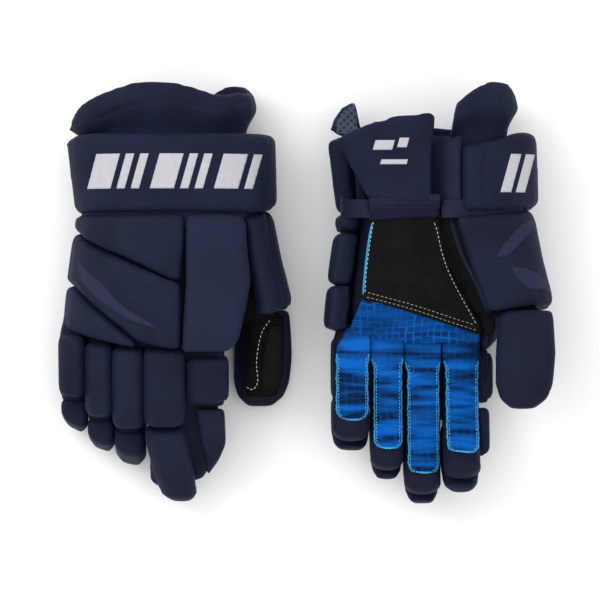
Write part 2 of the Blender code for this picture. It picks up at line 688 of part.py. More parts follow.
def centre_on_floor():
    """Moves the pair so that the middle of its box's floor is the origin."""
    bpy.context.view_layer.update()
    corners = [obj.matrix_world @ v.co for obj in bpy.data.objects for v in obj.data.vertices]
    low = [min(c[k] for c in corners) for k in range(3)]
    high = [max(c[k] for c in corners) for k in range(3)]
    shift = ((low[0] + high[0]) / 2, (low[1] + high[1]) / 2, low[2])
    for obj in bpy.data.objects:
        obj.location = [a - b for a, b in zip(obj.location, shift)]


def build():
    clear_scene()
    for side in GLOVES:
        glove = Glove(side)
        hand_liner(glove)
        palms(glove)
        back_rolls(glove)
        cuff(glove)
        for name in glove.fingers:
            finger(glove, name)
        thumb(glove)
    centre_on_floor()


build()
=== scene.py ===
# %% [markdown]
# # A pair of ice hockey gloves
# The right-hand glove lies with its back up and its fingers curled, the left-hand glove with
# its palm up. A hockey glove is a thin fabric hand with foam rolls sewn into nylon casings on
# its back, a leather palm, and a stiffer cuff. Each padded roll is made from its solid in the
# frame, the thin leathers are drawn on top of them, and the thread comes last.

# %% Frame and measures
import json
import math

import bmesh
import bpy
import numpy as np
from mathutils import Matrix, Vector, noise
from mathutils.bvhtree import BVHTree


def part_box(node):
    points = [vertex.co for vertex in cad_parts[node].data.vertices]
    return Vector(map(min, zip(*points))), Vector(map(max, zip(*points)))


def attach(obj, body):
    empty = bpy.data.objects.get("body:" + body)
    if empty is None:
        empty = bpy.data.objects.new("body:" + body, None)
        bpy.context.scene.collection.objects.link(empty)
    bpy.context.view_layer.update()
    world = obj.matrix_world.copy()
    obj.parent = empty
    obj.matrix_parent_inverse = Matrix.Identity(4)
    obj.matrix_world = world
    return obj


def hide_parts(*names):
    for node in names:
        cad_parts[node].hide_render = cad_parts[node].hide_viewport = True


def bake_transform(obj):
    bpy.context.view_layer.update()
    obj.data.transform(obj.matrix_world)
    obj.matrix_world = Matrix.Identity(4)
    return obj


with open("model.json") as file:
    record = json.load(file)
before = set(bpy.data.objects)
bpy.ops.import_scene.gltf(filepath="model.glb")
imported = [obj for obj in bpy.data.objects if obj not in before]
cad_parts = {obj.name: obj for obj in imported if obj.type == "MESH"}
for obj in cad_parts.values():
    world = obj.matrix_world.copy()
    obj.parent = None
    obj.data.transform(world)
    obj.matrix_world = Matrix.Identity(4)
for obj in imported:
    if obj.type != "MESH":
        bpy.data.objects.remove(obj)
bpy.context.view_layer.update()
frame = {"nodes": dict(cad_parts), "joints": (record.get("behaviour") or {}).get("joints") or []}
MM = 0.001
SIDES = ("right", "left")
FINGERS = ("little", "ring", "middle", "index")
JOINTS = {joint["name"]: joint for joint in frame["joints"]}
# +1 where the back of the glove faces up, -1 where its palm does
BACK_UP = {"right": 1, "left": -1}
GLOVE_HEIGHT = 92.0      # in mm
HAND_HEIGHT = 46.0       # height of the middle of the hand, in mm

# %% [markdown]
# Places on a glove are given in millimetres: across from the middle of its cuff to the thumb,
# and along from the wrist seam towards the cuff's mouth, so the fingers have negative places.

# %% Places on a glove
WRIST = {side: Vector(JOINTS[f"{side}_cuff_hinge"]["pos_m"]) for side in SIDES}


def spot(side, across, along):
    """World x and y of a place on the glove."""
    return WRIST[side].x + across * MM, WRIST[side].y + along * MM


def smooth(t):
    t = min(max(t, 0.0), 1.0)
    return t * t * (3 - 2 * t)


def mix(a, b, t):
    return a + (b - a) * t


def curve_through(points, step):
    """Evenly spaced points on a smooth curve through the given ones (Catmull-Rom)."""
    pts = [Vector(p) for p in points]
    dense = []
    for i in range(len(pts) - 1):
        before = pts[i - 1] if i else pts[0] * 2 - pts[1]
        after = pts[i + 2] if i + 2 < len(pts) else pts[-1] * 2 - pts[-2]
        a, b = pts[i], pts[i + 1]
        for k in range(12):
            t = k / 12
            dense.append(0.5 * ((2 * a) + (b - before) * t
                                + (2 * before - 5 * a + 4 * b - after) * t * t
                                + (3 * a - before - 3 * b + after) * t ** 3))
    dense.append(pts[-1])
    out, left = [dense[0]], step
    for a, b in zip(dense, dense[1:]):
        gap, run = (b - a).length, 0.0
        while gap - run >= left > 0:
            run += left
            out.append(a.lerp(b, run / gap))
            left = step
        left -= gap - run
    if (out[-1] - dense[-1]).length > step * 0.4:
        out.append(dense[-1])
    return out


print("wrist seams at", [tuple(round(c, 3) for c in WRIST[s]) for s in SIDES])

# %% [markdown]
# ## Materials
# All the cloth here is nylon or polyester, so it reflects like plastic, but the light that it
# catches is broken up by its threads: it looks matt, with a soft sheen at grazing angles.

# %% Colour and node helpers
def linear(hex_colour):
    """An sRGB hex colour as linear RGBA."""
    parts = [int(hex_colour[i:i + 2], 16) / 255 for i in (1, 3, 5)]
    return (*[c / 12.92 if c <= 0.04045 else ((c + 0.055) / 1.055) ** 2.4 for c in parts], 1.0)


def add(tree, kind, inputs=(), **settings):
    """Adds a node, sets its properties, and sets or links its inputs."""
    made = tree.nodes.new(kind)
    for name, value in settings.items():
        setattr(made, name, value)
    for name, value in dict(inputs).items():
        if isinstance(value, bpy.types.NodeSocket):
            tree.links.new(value, made.inputs[name])
        else:
            made.inputs[name].default_value = value
    return made


def start_material(name, roughness, sheen=0.0, sheen_tint="#ffffff", specular=0.5):
    """A Principled material with its constant values set on the shader's own sockets, and
    the place on the object that its patterns follow."""
    made = bpy.data.materials.new(name)
    made.use_nodes = True
    tree = made.node_tree
    shader = tree.nodes["Principled BSDF"]
    shader.inputs["Roughness"].default_value = roughness
    shader.inputs["Metallic"].default_value = 0.0
    shader.inputs["Specular IOR Level"].default_value = specular
    shader.inputs["Sheen Weight"].default_value = sheen
    shader.inputs["Sheen Roughness"].default_value = 0.45
    shader.inputs["Sheen Tint"].default_value = linear(sheen_tint)
    return made, tree, shader, add(tree, "ShaderNodeTexCoord").outputs["Object"]


def cloud(tree, place, scale, detail, **more):
    """Soft noise, from 0 to 1."""
    return add(tree, "ShaderNodeTexNoise", {"Vector": place, "Scale": scale, "Detail": detail,
                                            **more}).outputs["Fac"]


def times_plus(tree, value, factor, more):
    return add(tree, "ShaderNodeMath", {0: value, 1: factor, 2: more},
               operation="MULTIPLY_ADD").outputs[0]


def span(tree, value, low, high, to_low=0.0, to_high=1.0, **settings):
    """The value moved from low..high to to_low..to_high."""
    return add(tree, "ShaderNodeMapRange", {"Value": value, "From Min": low, "From Max": high,
                                            "To Min": to_low, "To Max": to_high},
               **settings).outputs["Result"]


def two_tones(tree, share, deep, light):
    """A colour between two, which are linear colours or sockets."""
    return add(tree, "ShaderNodeMix", {"Factor": share, 6: deep, 7: light},
               data_type="RGBA").outputs[2]


def dress(tree, shader, colour, height, strength, distance):
    """Gives a shader its colour and a bump, distance millimetres deep."""
    bumps = add(tree, "ShaderNodeBump", {"Height": height, "Strength": strength,
                                         "Distance": distance * MM})
    tree.links.new(colour, shader.inputs["Base Color"])
    tree.links.new(bumps.outputs["Normal"], shader.inputs["Normal"])


# %% [markdown]
# Nylon twill: the casings are a tight twill whose ribs run across the glove. The real ribs are
# about 0.7 mm apart, which is too fine to show at this size, so they are drawn at 1.7 mm.

# %% Woven nylon
CLOTH_SHEEN = "#7d86c8"


def woven(name, deep, light, rib, thread, bump, roughness=0.62, sheen=0.04, slant=0.0):
    """Woven cloth: ribs every rib millimetres along the glove, threads across them."""
    made, tree, shader, place = start_material(name, roughness, sheen, CLOTH_SHEEN, 0.1)
    axes = add(tree, "ShaderNodeSeparateXYZ", {"Vector": place}).outputs
    lean = times_plus(tree, axes["X"], slant, axes["Y"])
    phase = times_plus(tree, lean, 2 * math.pi / (rib * MM), cloud(tree, place, 60.0, 2.0))
    ribs = add(tree, "ShaderNodeMath", {0: phase}, operation="SINE").outputs[0]
    across = add(tree, "ShaderNodeMath", {0: axes["X"], 1: axes["Z"]}, operation="ADD")
    turn = times_plus(tree, across.outputs[0], 2 * math.pi / (thread * MM), ribs)
    threads = add(tree, "ShaderNodeMath", {0: turn}, operation="SINE").outputs[0]
    height = times_plus(tree, threads, 0.45, ribs)
    depth = times_plus(tree, height, 0.16, cloud(tree, place, 28.0, 4.0))
    colour = two_tones(tree, span(tree, depth, 0.15, 0.85), linear(deep), linear(light))
    creased = times_plus(tree, cloud(tree, place, 90.0, 3.0), 3.0, height)
    dress(tree, shader, colour, creased, bump, 0.18)
    return made


NAVY_TWILL = woven("navy nylon twill", "#0b0f21", "#191f36", 1.7, 1.9, 0.4)
CUFF_TWILL = woven("navy ribbed nylon", "#0a0e20", "#191f38", 2.1, 2.6, 0.6, slant=0.12)
FINGER_CLOTH = woven("navy stretch nylon", "#0a0c1a", "#15182e", 1.3, 1.3, 0.3)
PIPING_CLOTH = woven("navy binding tape", "#111327", "#1c2039", 0.9, 0.9, 0.3, 0.5)
print("twills made")

# %% [markdown]
# Spacer mesh: the panel beside the thumb is a knitted mesh with a small pit every 2.2 mm.
# The lining is a coarser one.

# %% Meshes
def pitted(name, deep, light, pitch, roughness=0.7):
    """Knitted mesh with a pit every pitch millimetres, in diagonal rows."""
    made, tree, shader, place = start_material(name, roughness, 0.03, CLOTH_SHEEN, 0.1)
    turned = add(tree, "ShaderNodeMapping", {"Vector": place, "Rotation": (0, 0, math.pi / 4)})
    flat = add(tree, "ShaderNodeVectorMath", {0: turned.outputs["Vector"], 1: (1, 1, 0)},
               operation="MULTIPLY")
    pits = add(tree, "ShaderNodeTexVoronoi", {"Vector": flat.outputs["Vector"],
                                              "Scale": 1 / (pitch * MM), "Randomness": 0.0})
    pit = span(tree, pits.outputs["Distance"], 0.12, 0.42)
    tone = times_plus(tree, cloud(tree, place, 30.0, 3.0), 0.4, pit)
    colour = two_tones(tree, span(tree, tone, 0.1, 1.3), linear(deep), linear(light))
    dress(tree, shader, colour, pit, 0.6, 0.3)
    return made


NAVY_MESH = pitted("navy spacer mesh", "#090c1b", "#1f263e", 2.2)
LINING_MESH = pitted("grey lining mesh", "#1c222d", "#4a5468", 4.5, 0.8)
print("meshes made")

# %% [markdown]
# The palm: a brushed synthetic suede. The heel is plain black. The grip is dyed blue and
# embossed in small squares between lighter lines. On the fingers the squares are worn away.
# Folds across the grip are painted into its colour as darker and lighter bands: painted shade
# and highlight, strongest on the fingers.

# %% Suedes
def suede(name, deep, light, roughness):
    """Short brushed fibres: a fine grain and soft clouds where the nap lies another way."""
    made, tree, shader, place = start_material(name, roughness, 0.02, "#9aa0a8", 0.07)
    grain = cloud(tree, place, 900.0, 2.0)
    tone = times_plus(tree, grain, 0.6, cloud(tree, place, 45.0, 6.0, Roughness=0.65))
    colour = two_tones(tree, span(tree, tone, 0.55, 1.05), linear(deep), linear(light))
    dress(tree, shader, colour, grain, 0.35, 0.2)
    return made


def embossed(name, deep, light, line, pitch, squares, folds):
    """Blue grip leather: dark squares every pitch millimetres between lighter lines, and painted
    shade and highlight: darker and lighter bands across the glove where folds would be in shade or
    lit."""
    made, tree, shader, place = start_material(name, 0.62, 0.0, "#9fd0ff", 0.06)
    wander = add(tree, "ShaderNodeTexNoise", {"Vector": place, "Scale": 22.0, "Detail": 2.0})
    drift = add(tree, "ShaderNodeVectorMath", {0: wander.outputs["Color"], 1: (0.012,) * 3,
                                               2: place}, operation="MULTIPLY_ADD")
    flat = add(tree, "ShaderNodeMapping", {"Vector": drift.outputs["Vector"],
                                           "Scale": (1.0, 1.15, 0.0)})
    cells = add(tree, "ShaderNodeTexVoronoi", {"Vector": flat.outputs["Vector"],
                                               "Scale": 1 / (pitch * MM), "Randomness": 0.22},
                distance="CHEBYCHEV")
    square = span(tree, cells.outputs["Distance"], 0.34, 0.48, interpolation_type="SMOOTHSTEP")
    strength = span(tree, cloud(tree, place, 40.0, 3.0), 0.35, 0.62, 0.25 * squares, squares)
    worn = add(tree, "ShaderNodeMath", {0: square, 1: strength}, operation="MULTIPLY")
    # Painted fold shade and highlight: the base colour turns darker and lighter in bands across
    # the glove, as folds would look in shade and in light.
    drawn = add(tree, "ShaderNodeMapping", {"Vector": place, "Scale": (0.13, 1.0, 0.3),
                                            "Rotation": (0, 0, 0.12)}).outputs["Vector"]
    folded = span(tree, cloud(tree, drawn, 130.0, 1.0, Distortion=0.3), 0.36, 0.64,
                  0.5 - folds / 2, 0.5 + folds / 2)
    fold_shaded_ground = two_tones(tree, folded, linear(deep), linear(light))
    colour = two_tones(tree, worn.outputs[0], fold_shaded_ground, linear(line))
    relief = times_plus(tree, cloud(tree, place, 700.0, 2.0), 0.3, square)
    dress(tree, shader, colour, relief, 0.5, 0.35)
    return made


BLACK_SUEDE = suede("black synthetic suede", "#050505", "#131314", 0.75)
# The last number of each grip is how strong its painted fold shade and highlight are.
BLUE_GRIP = embossed("blue embossed grip leather with painted fold shade", "#00214c", "#004084", "#0459ab", 5.8,
                     0.8, 0.8)
FINGER_GRIP = embossed("blue folded grip leather with painted fold shade", "#001c42", "#0458ac", "#0560b4", 5.8,
                       0.25, 1.0)
RAW_EDGE = suede("blue cut leather edge", "#1679b4", "#3aa6d6", 0.6)
OLIVE_EDGE = suede("grey cut leather edge", "#2a2920", "#454434", 0.7)
KNIT = suede("black knit gusset", "#040405", "#0e0e10", 0.85)
print("leathers made")

# %% [markdown]
# Sewing thread is bonded polyester, slightly shiny. The bars on the cuff are screen printed in
# a thick matt ink that fills the weave and is a little uneven.

# %% Thread and ink
def plain(name, deep, light, roughness, scale, bump):
    """One colour, flecked between two tones."""
    made, tree, shader, place = start_material(name, roughness, 0.0, specular=0.25)
    fleck = cloud(tree, place, scale, 3.0)
    dress(tree, shader, two_tones(tree, fleck, linear(deep), linear(light)), fleck, bump, 0.1)
    return made


WHITE_THREAD = plain("white polyester thread", "#b9b6a8", "#f2efe2", 0.5, 500.0, 0.3)
BEIGE_THREAD = plain("beige polyester thread", "#8f8769", "#c9c09c", 0.5, 500.0, 0.3)
BLUE_THREAD = plain("pale blue polyester thread", "#4f97c4", "#9fd0ea", 0.5, 500.0, 0.3)
NAVY_THREAD = plain("navy polyester thread", "#1b1e36", "#2b3050", 0.5, 500.0, 0.3)
WHITE_INK = plain("white screen print ink", "#a2a2a8", "#b6b6bb", 0.6, 260.0, 0.5)
SLATE_INK = plain("slate screen print ink", "#0e1330", "#171d3e", 0.65, 260.0, 0.3)
print("threads and inks made")

# %% [markdown]
# ## The padded rolls
# Each roll is closed-cell foam in a sewn casing. The casing is cut a little small, so the foam
# swells between its seams. The solid from the frame is remeshed evenly and blown up as cloth by
# a small pressure. All rolls are simulated together, in one pass. A sewn casing runs on a little
# past its foam, so each is then stretched towards its neighbours.

# %% Mesh helpers
def make_object(name, verts, faces, *mats):
    mesh = bpy.data.meshes.new(name)
    mesh.from_pydata([tuple(v) for v in verts], [], [list(f) for f in faces])
    mesh.validate()
    for mat in mats:
        mesh.materials.append(mat)
    obj = bpy.data.objects.new(name, mesh)
    bpy.context.scene.collection.objects.link(obj)
    mesh.shade_smooth()
    return obj


def bake(obj):
    """Replaces obj's mesh with what its modifiers make of it."""
    deps = bpy.context.evaluated_depsgraph_get()
    made = bpy.data.meshes.new_from_object(obj.evaluated_get(deps))
    obj.modifiers.clear()
    obj.data = made
    made.shade_smooth()
    return obj


def coordinates(obj):
    co = np.zeros(len(obj.data.vertices) * 3)
    obj.data.vertices.foreach_get("co", co)
    return co.reshape(-1, 3)


def set_coordinates(obj, co):
    obj.data.vertices.foreach_set("co", co.ravel())
    obj.data.update()


def normals_of(obj):
    normals = np.zeros(len(obj.data.vertices) * 3)
    obj.data.vertex_normals.foreach_get("vector", normals)
    return normals.reshape(-1, 3)


def face_outward(obj, weld=False):
    """Turns every face outward, after joining the vertices that lie together if asked."""
    bm = bmesh.new()
    bm.from_mesh(obj.data)
    if weld:
        bmesh.ops.remove_doubles(bm, verts=bm.verts, dist=0.00001)
    bmesh.ops.recalc_face_normals(bm, faces=bm.faces)
    bm.to_mesh(obj.data)
    bm.free()


def remesh(obj, voxel):
    grid = obj.modifiers.new("Remesh", "REMESH")
    grid.mode = "VOXEL"
    grid.voxel_size = voxel * MM
    bake(obj)


def subdivide(obj):
    finer = obj.modifiers.new("Subdivision", "SUBSURF")
    finer.levels = finer.render_levels = 1
    bake(obj)


def thicken(obj, thick, offset=-1.0, rim_material=0):
    """Makes a sheet thick millimetres thick: inward at offset -1, outward at 1."""
    wall = obj.modifiers.new("Solidify", "SOLIDIFY")
    wall.thickness = thick * MM
    wall.offset = offset
    wall.material_offset_rim = rim_material
    bake(obj)


def grid_faces(rows, cols):
    """Faces over rows of cols vertices each."""
    return [(r * cols + c, r * cols + c + 1, (r + 1) * cols + c + 1, (r + 1) * cols + c)
            for r in range(rows - 1) for c in range(cols - 1)]


def ring_faces(rings, count, base=0, ends=False):
    """Faces round rings of count vertices each, and over both ends if asked."""
    made = []
    for r in range(rings - 1):
        for k in range(count):
            a, b = base + r * count + k, base + r * count + (k + 1) % count
            made.append((a, b, b + count, a + count))
    if ends:
        made.append(tuple(range(base + count - 1, base - 1, -1)))
        made.append(tuple(range(base + (rings - 1) * count, base + rings * count)))
    return made


def relax(obj, rounds, strength=0.5):
    """Moves every vertex towards the middle of its neighbours."""
    edges = np.zeros(len(obj.data.edges) * 2, int)
    obj.data.edges.foreach_get("vertices", edges)
    edges = edges.reshape(-1, 2)
    count = np.bincount(edges.ravel(), minlength=len(obj.data.vertices))[:, None]
    co = coordinates(obj)
    for _ in range(rounds):
        total = np.zeros_like(co)
        np.add.at(total, edges[:, 0], co[edges[:, 1]])
        np.add.at(total, edges[:, 1], co[edges[:, 0]])
        co = mix(co, total / np.maximum(count, 1), strength)
    set_coordinates(obj, co)


def soft_copy(node, voxel, draw_in, rounds=2):
    """The node's solid, drawn in, remeshed in even squares and rounded."""
    source = frame["nodes"][node]
    obj = bpy.data.objects.new(f"{node}_casing", source.data.copy())
    bpy.context.scene.collection.objects.link(obj)
    obj.data.materials.clear()
    face_outward(obj, weld=True)
    remesh(obj, voxel)
    relax(obj, rounds)
    set_coordinates(obj, coordinates(obj) - normals_of(obj) * draw_in * MM)
    return obj


# %% Casings
# piece: body, material, voxel, how far it is drawn in, and how far it may swell, in mm
ROLLS = {
    "upper_back_roll": ("hand", NAVY_TWILL, 3.2, -0.5, 1.6),
    "middle_back_roll": ("hand", NAVY_TWILL, 3.2, -0.5, 1.6),
    "lower_back_roll": ("hand", NAVY_TWILL, 3.2, -0.5, 1.6),
    "thumb_side_back_roll": ("hand", NAVY_MESH, 3.2, -0.4, 1.8),
    "wrist_side_roll": ("hand", NAVY_TWILL, 3.4, 0.0, 2.2),
    "cuff_roll": ("cuff", CUFF_TWILL, 3.4, 0.4, 1.8),
    "cuff_insert": ("cuff", CUFF_TWILL, 3.2, 0.5, 1.4),
    "cuff_flap": ("flap", CUFF_TWILL, 3.2, 0.6, 1.6),
    "thumb_roll": ("thumb", NAVY_TWILL, 3.2, 0.6, 2.0),
    "index_side_roll": ("index_base", NAVY_TWILL, 2.4, 0.0, 1.0),
}
for finger_name in FINGERS:
    ROLLS[f"{finger_name}_base_roll"] = (f"{finger_name}_base", NAVY_TWILL, 2.4, 0.0, 1.0)
    ROLLS[f"{finger_name}_tip_roll"] = (f"{finger_name}_tip", NAVY_TWILL, 2.4, 0.0, 1.0)
PRESSURE = 4.0
SETTLE_FRAMES = 20

casings = {}
for side in SIDES:
    for part_name, (body, mat, voxel, draw_in, swell) in ROLLS.items():
        casings[f"{side}_{part_name}"] = soft_copy(f"{side}_{part_name}", voxel, draw_in,
                                                   6 if part_name == "cuff_insert" else 2)
print("casings:", len(casings), "with", sum(len(o.data.vertices) for o in casings.values()),
      "vertices")

# %% Swelling under pressure
# how far a casing reaches past its solid, in mm: to the hand, to the fingertip, left, right
STRETCH = {"_base_roll": (8.0, 1.5, 0.5, 0.5), "_tip_roll": (5.0, 0.0, 0.3, 0.3),
           "cuff_roll": (0.0, 2.0, 1.0, 4.0), "thumb_roll": (3.5, 0.0, 2.5, 0.0),
           "upper_back_roll": (1.8, 0.0, 0.0, 2.0), "middle_back_roll": (0.0, 0.0, 0.0, 2.0),
           "side_back_roll": (1.8, 0.0, 0.0, 0.0), "wrist_side_roll": (1.0, 0.0, 3.0, 0.0),
           "cuff_flap": (0.0, 1.5, 0.0, 4.5)}


def stretch(obj, near, far, left, right):
    co = coordinates(obj)
    share = (co - co.min(axis=0)) / (co.max(axis=0) - co.min(axis=0))
    co[:, 1] += mix(-far, near, share[:, 1]) * MM
    co[:, 0] += mix(-left, right, share[:, 0]) * MM
    set_coordinates(obj, co)


INSERT_DROP = 10         # how far its end beside the little finger comes down, in mm
FOLD_AT = 50             # where the palm-up glove's insert starts to fold, along the glove
FOLDED = 0.42            # how tall the folded part still is


def shape_insert(obj, side):
    """Brings the insert's end down into the cuff beside the little finger. On the glove that
    lies on its back, its middle is folded down behind the palm flap."""
    for v in obj.data.vertices:
        across = (v.co.x - WRIST[side].x) / MM
        along = (v.co.y - WRIST[side].y) / MM
        along -= INSERT_DROP * smooth((-45 - across) / 25) * smooth((92 - along) / 30)
        if side == "left" and along > FOLD_AT:
            hump = mix(30, 14, smooth((v.co.z / MM - 30) / 20))
            stands = max(smooth((-58 - across) / 6), smooth((across - hump) / 6))
            along = FOLD_AT + (along - FOLD_AT) * mix(FOLDED, 1.0, stands)
        v.co.y = WRIST[side].y + along * MM


start_shapes = {name: coordinates(obj) for name, obj in casings.items()}
for obj in casings.values():
    cloth = obj.modifiers.new("Cloth", "CLOTH").settings
    cloth.quality = 5
    cloth.mass = 0.3
    cloth.use_pressure = True
    cloth.uniform_pressure_force = PRESSURE
    cloth.tension_stiffness = 12
    cloth.compression_stiffness = 12
    cloth.bending_stiffness = 1.5
    cloth.effector_weights.gravity = 0.0
for frame_number in range(1, SETTLE_FRAMES + 1):
    bpy.context.scene.frame_set(frame_number)
for obj in casings.values():
    bake(obj)
bpy.context.scene.frame_set(1)

for side in SIDES:
    for part_name, (body, mat, voxel, draw_in, swell) in ROLLS.items():
        name = f"{side}_{part_name}"
        obj, start = casings[name], start_shapes[name]
        move = coordinates(obj) - start
        size = np.linalg.norm(move, axis=1, keepdims=True)
        move *= np.minimum(1.0, swell * MM / np.maximum(size, 1e-9))
        set_coordinates(obj, start + move)
        for ending, amounts in STRETCH.items():
            if part_name.endswith(ending):
                stretch(obj, *amounts)
        if part_name == "cuff_insert":
            shape_insert(obj, side)
        obj.data.materials.clear()
        obj.data.materials.append(mat)
        subdivide(obj)
        co = coordinates(obj)
        co[:, 2] = np.maximum(co[:, 2], 0.0)      # it lies flat on the floor
        set_coordinates(obj, co)
print("swollen, largest move", round(float(size.max()) / MM, 2), "mm on the last roll")

# %% [markdown]
# ## Looking down on a surface
# Thread, print, piping and leathers are laid on the finished rolls. Each is drawn as places on
# the glove and dropped onto what it lies on, from the back or from the palm side.

# %% Laying things on a glove
def tree_of(objs):
    verts, faces = [], []
    for obj in objs:
        base = len(verts)
        verts += [tuple(c) for c in coordinates(obj)]
        faces += [[base + i for i in p.vertices] for p in obj.data.polygons]
    return BVHTree.FromPolygons(verts, faces)


def facing(side, face):
    """Up or down: which way the back or the palm of this glove looks."""
    return Vector((0, 0, BACK_UP[side] * (1 if face == "back" else -1)))


def drop(side, face, tree, across, along):
    """Point and normal where a ray from outside meets the surface, or None."""
    out = facing(side, face)
    x, y = spot(side, across, along)
    start = Vector((x, y, 0)) + out * 0.3
    place, normal, _, _ = tree.ray_cast(start, -out)
    if place is None:
        return None
    return place, (normal if normal.dot(out) > 0 else -normal)


def laid(side, face, tree, points, step):
    """A smooth line of places dropped on the surface: points and smoothed normals."""
    line = []
    for p in curve_through([(*p, 0) for p in points], step):
        hit = drop(side, face, tree, p.x, p.y)
        if hit:
            line.append(hit)
    smoothed = []
    for i in range(len(line)):
        near = line[max(0, i - 2):i + 3]
        smoothed.append(sum((n for _, n in near), Vector()).normalized())
    return [p for p, _ in line], smoothed


def thread_run(name, points, normals, mat, stitch=2.4, gap=1.3, radius=0.34):
    """Stitches along a line: each a short thread that dips into the cloth at both ends."""
    verts, faces = [], []
    lengths = [0.0]
    for a, b in zip(points, points[1:]):
        lengths.append(lengths[-1] + (b - a).length)

    def at(d):
        i = max(k for k in range(len(lengths)) if lengths[k] <= d or k == 0)
        i = min(i, len(points) - 2)
        t = (d - lengths[i]) / max(lengths[i + 1] - lengths[i], 1e-9)
        return points[i].lerp(points[i + 1], t), normals[i].lerp(normals[i + 1], t).normalized()

    place = gap * MM
    while place + stitch * MM < lengths[-1]:
        rings = 5
        for k in range(rings):
            t = k / (rings - 1)
            centre, up = at(place + t * stitch * MM)
            ahead, _ = at(min(place + (t * stitch + 0.3) * MM, lengths[-1]))
            way = (ahead - centre).normalized() if (ahead - centre).length > 1e-7 else way
            wide = way.cross(up).normalized()
            arch = math.sin(math.pi * t)
            size = radius * MM * (0.55 + 0.45 * arch)
            middle = centre + up * (0.1 + 0.32 * arch) * MM
            for j in range(6):
                a = j * math.pi / 3
                verts.append(middle + wide * math.cos(a) * size * 1.15
                             + up * math.sin(a) * size)
        faces += ring_faces(rings, 6, len(verts) - rings * 6, ends=True)
        place += (stitch + gap) * MM
    return make_object(name, verts, faces, mat)


def piping(name, points, normals, radius, mat, sink=0.3):
    """A round cord in binding tape, half sunk in the seam."""
    verts = []
    count = len(points)
    for i, (p, n) in enumerate(zip(points, normals)):
        way = (points[min(i + 1, count - 1)] - points[max(i - 1, 0)]).normalized()
        wide = way.cross(n).normalized()
        end = min(1.0, 0.35 + min(i, count - 1 - i) * 0.25)
        for j in range(8):
            a = j * math.pi / 4
            verts.append(p - n * sink * radius * MM
                         + (wide * math.cos(a) + n * math.sin(a)) * radius * MM * end)
    return make_object(name, verts, ring_faces(count, 8, ends=True), mat)


def panel(name, side, face, tree, outline, thick, mats, cell=2.5, relief=None, rim=0.0,
          rounds=4, lift=0.1):
    """A flat-cut panel dropped on the surface. Its outline is places on the glove; a rim of
    the second material may run round it, and relief moves its face out by millimetres."""
    bm = bmesh.new()
    ring = [bm.verts.new((x, y, 0)) for x, y in outline]
    bm.faces.new(ring)
    if rim:
        bmesh.ops.inset_region(bm, faces=bm.faces[:], thickness=rim, use_even_offset=False)
        inner = [f for f in bm.faces if len(f.verts) > 4]
        for f in bm.faces:
            f.material_index = 0 if f in inner else 1
    lows = [min(p[k] for p in outline) for k in (0, 1)]
    highs = [max(p[k] for p in outline) for k in (0, 1)]
    for axis in (0, 1):
        steps = int((highs[axis] - lows[axis]) / cell)
        for k in range(1, steps + 1):
            co, no = [0, 0, 0], [0, 0, 0]
            co[axis], no[axis] = lows[axis] + k * cell, 1
            geom = bm.verts[:] + bm.edges[:] + bm.faces[:]
            bmesh.ops.bisect_plane(bm, geom=geom, plane_co=co, plane_no=no, dist=0.01)
    out = facing(side, face)
    heights = {}
    for v in bm.verts:
        hit = drop(side, face, tree, v.co.x, v.co.y)
        heights[v] = hit[0].z if hit else None
    for _ in range(60):
        gaps = [v for v in bm.verts if heights[v] is None]
        if not gaps:
            break
        for v in gaps:
            near = [heights[e.other_vert(v)] for e in v.link_edges
                    if heights[e.other_vert(v)] is not None]
            if near:
                heights[v] = sum(near) / len(near)
    known = [h for h in heights.values() if h is not None]
    spare = sum(known) / max(len(known), 1)
    for v in bm.verts:
        if heights[v] is None:
            heights[v] = spare
    for _ in range(rounds):
        heights = {v: mix(h, sum(heights[e.other_vert(v)] for e in v.link_edges)
                          / len(v.link_edges), 0.5) for v, h in heights.items()}
    for v in bm.verts:
        across, along = v.co.x, v.co.y
        x, y = spot(side, across, along)
        extra = lift + (relief(across, along) if relief else 0.0)
        v.co = Vector((x, y, heights[v] + out.z * extra * MM))
    bm.normal_update()
    for f in bm.faces:
        if f.normal.z * out.z < 0:
            f.normal_flip()
    bmesh.ops.triangulate(bm, faces=[f for f in bm.faces if len(f.verts) > 4])
    bm.to_mesh(made := bpy.data.meshes.new(name))
    bm.free()
    obj = bpy.data.objects.new(name, made)
    bpy.context.scene.collection.objects.link(obj)
    for mat in mats:
        made.materials.append(mat)
    thicken(obj, thick, 1.0, 1 if rim else 0)
    return obj


def closed(points, step=2.0):
    """An outline through corner places: each run between corners is a smooth curve."""
    line = curve_through([(*p, 0) for p in points] + [(*points[0], 0)], step)
    return [(p.x, p.y) for p in line[:-1]]


def press(obj, side, face, lines, width, depth):
    """Presses a groove, or with a negative depth raises a ridge, along lines of places."""
    out = facing(side, face)
    co, normals = coordinates(obj), normals_of(obj)
    near = np.full(len(co), 1e9)
    for line in lines:
        for p in curve_through([(*p, 0) for p in line], 1.0):
            x, y = spot(side, p.x, p.y)
            near = np.minimum(near, np.hypot(co[:, 0] - x, co[:, 1] - y))
    share = np.clip(1 - near / (width * MM), 0, 1)
    share = share * share * (3 - 2 * share) * (normals[:, 2] * out.z > 0.15)
    set_coordinates(obj, co - normals * (share * depth * MM)[:, None])


print("laying tools ready")

# %% [markdown]
# The casings carry pressed lines: two ridges beside the lower seam of the middle roll, a soft
# crease where the cuff turns round the wrist, and a seam round the palm side of the thumb.

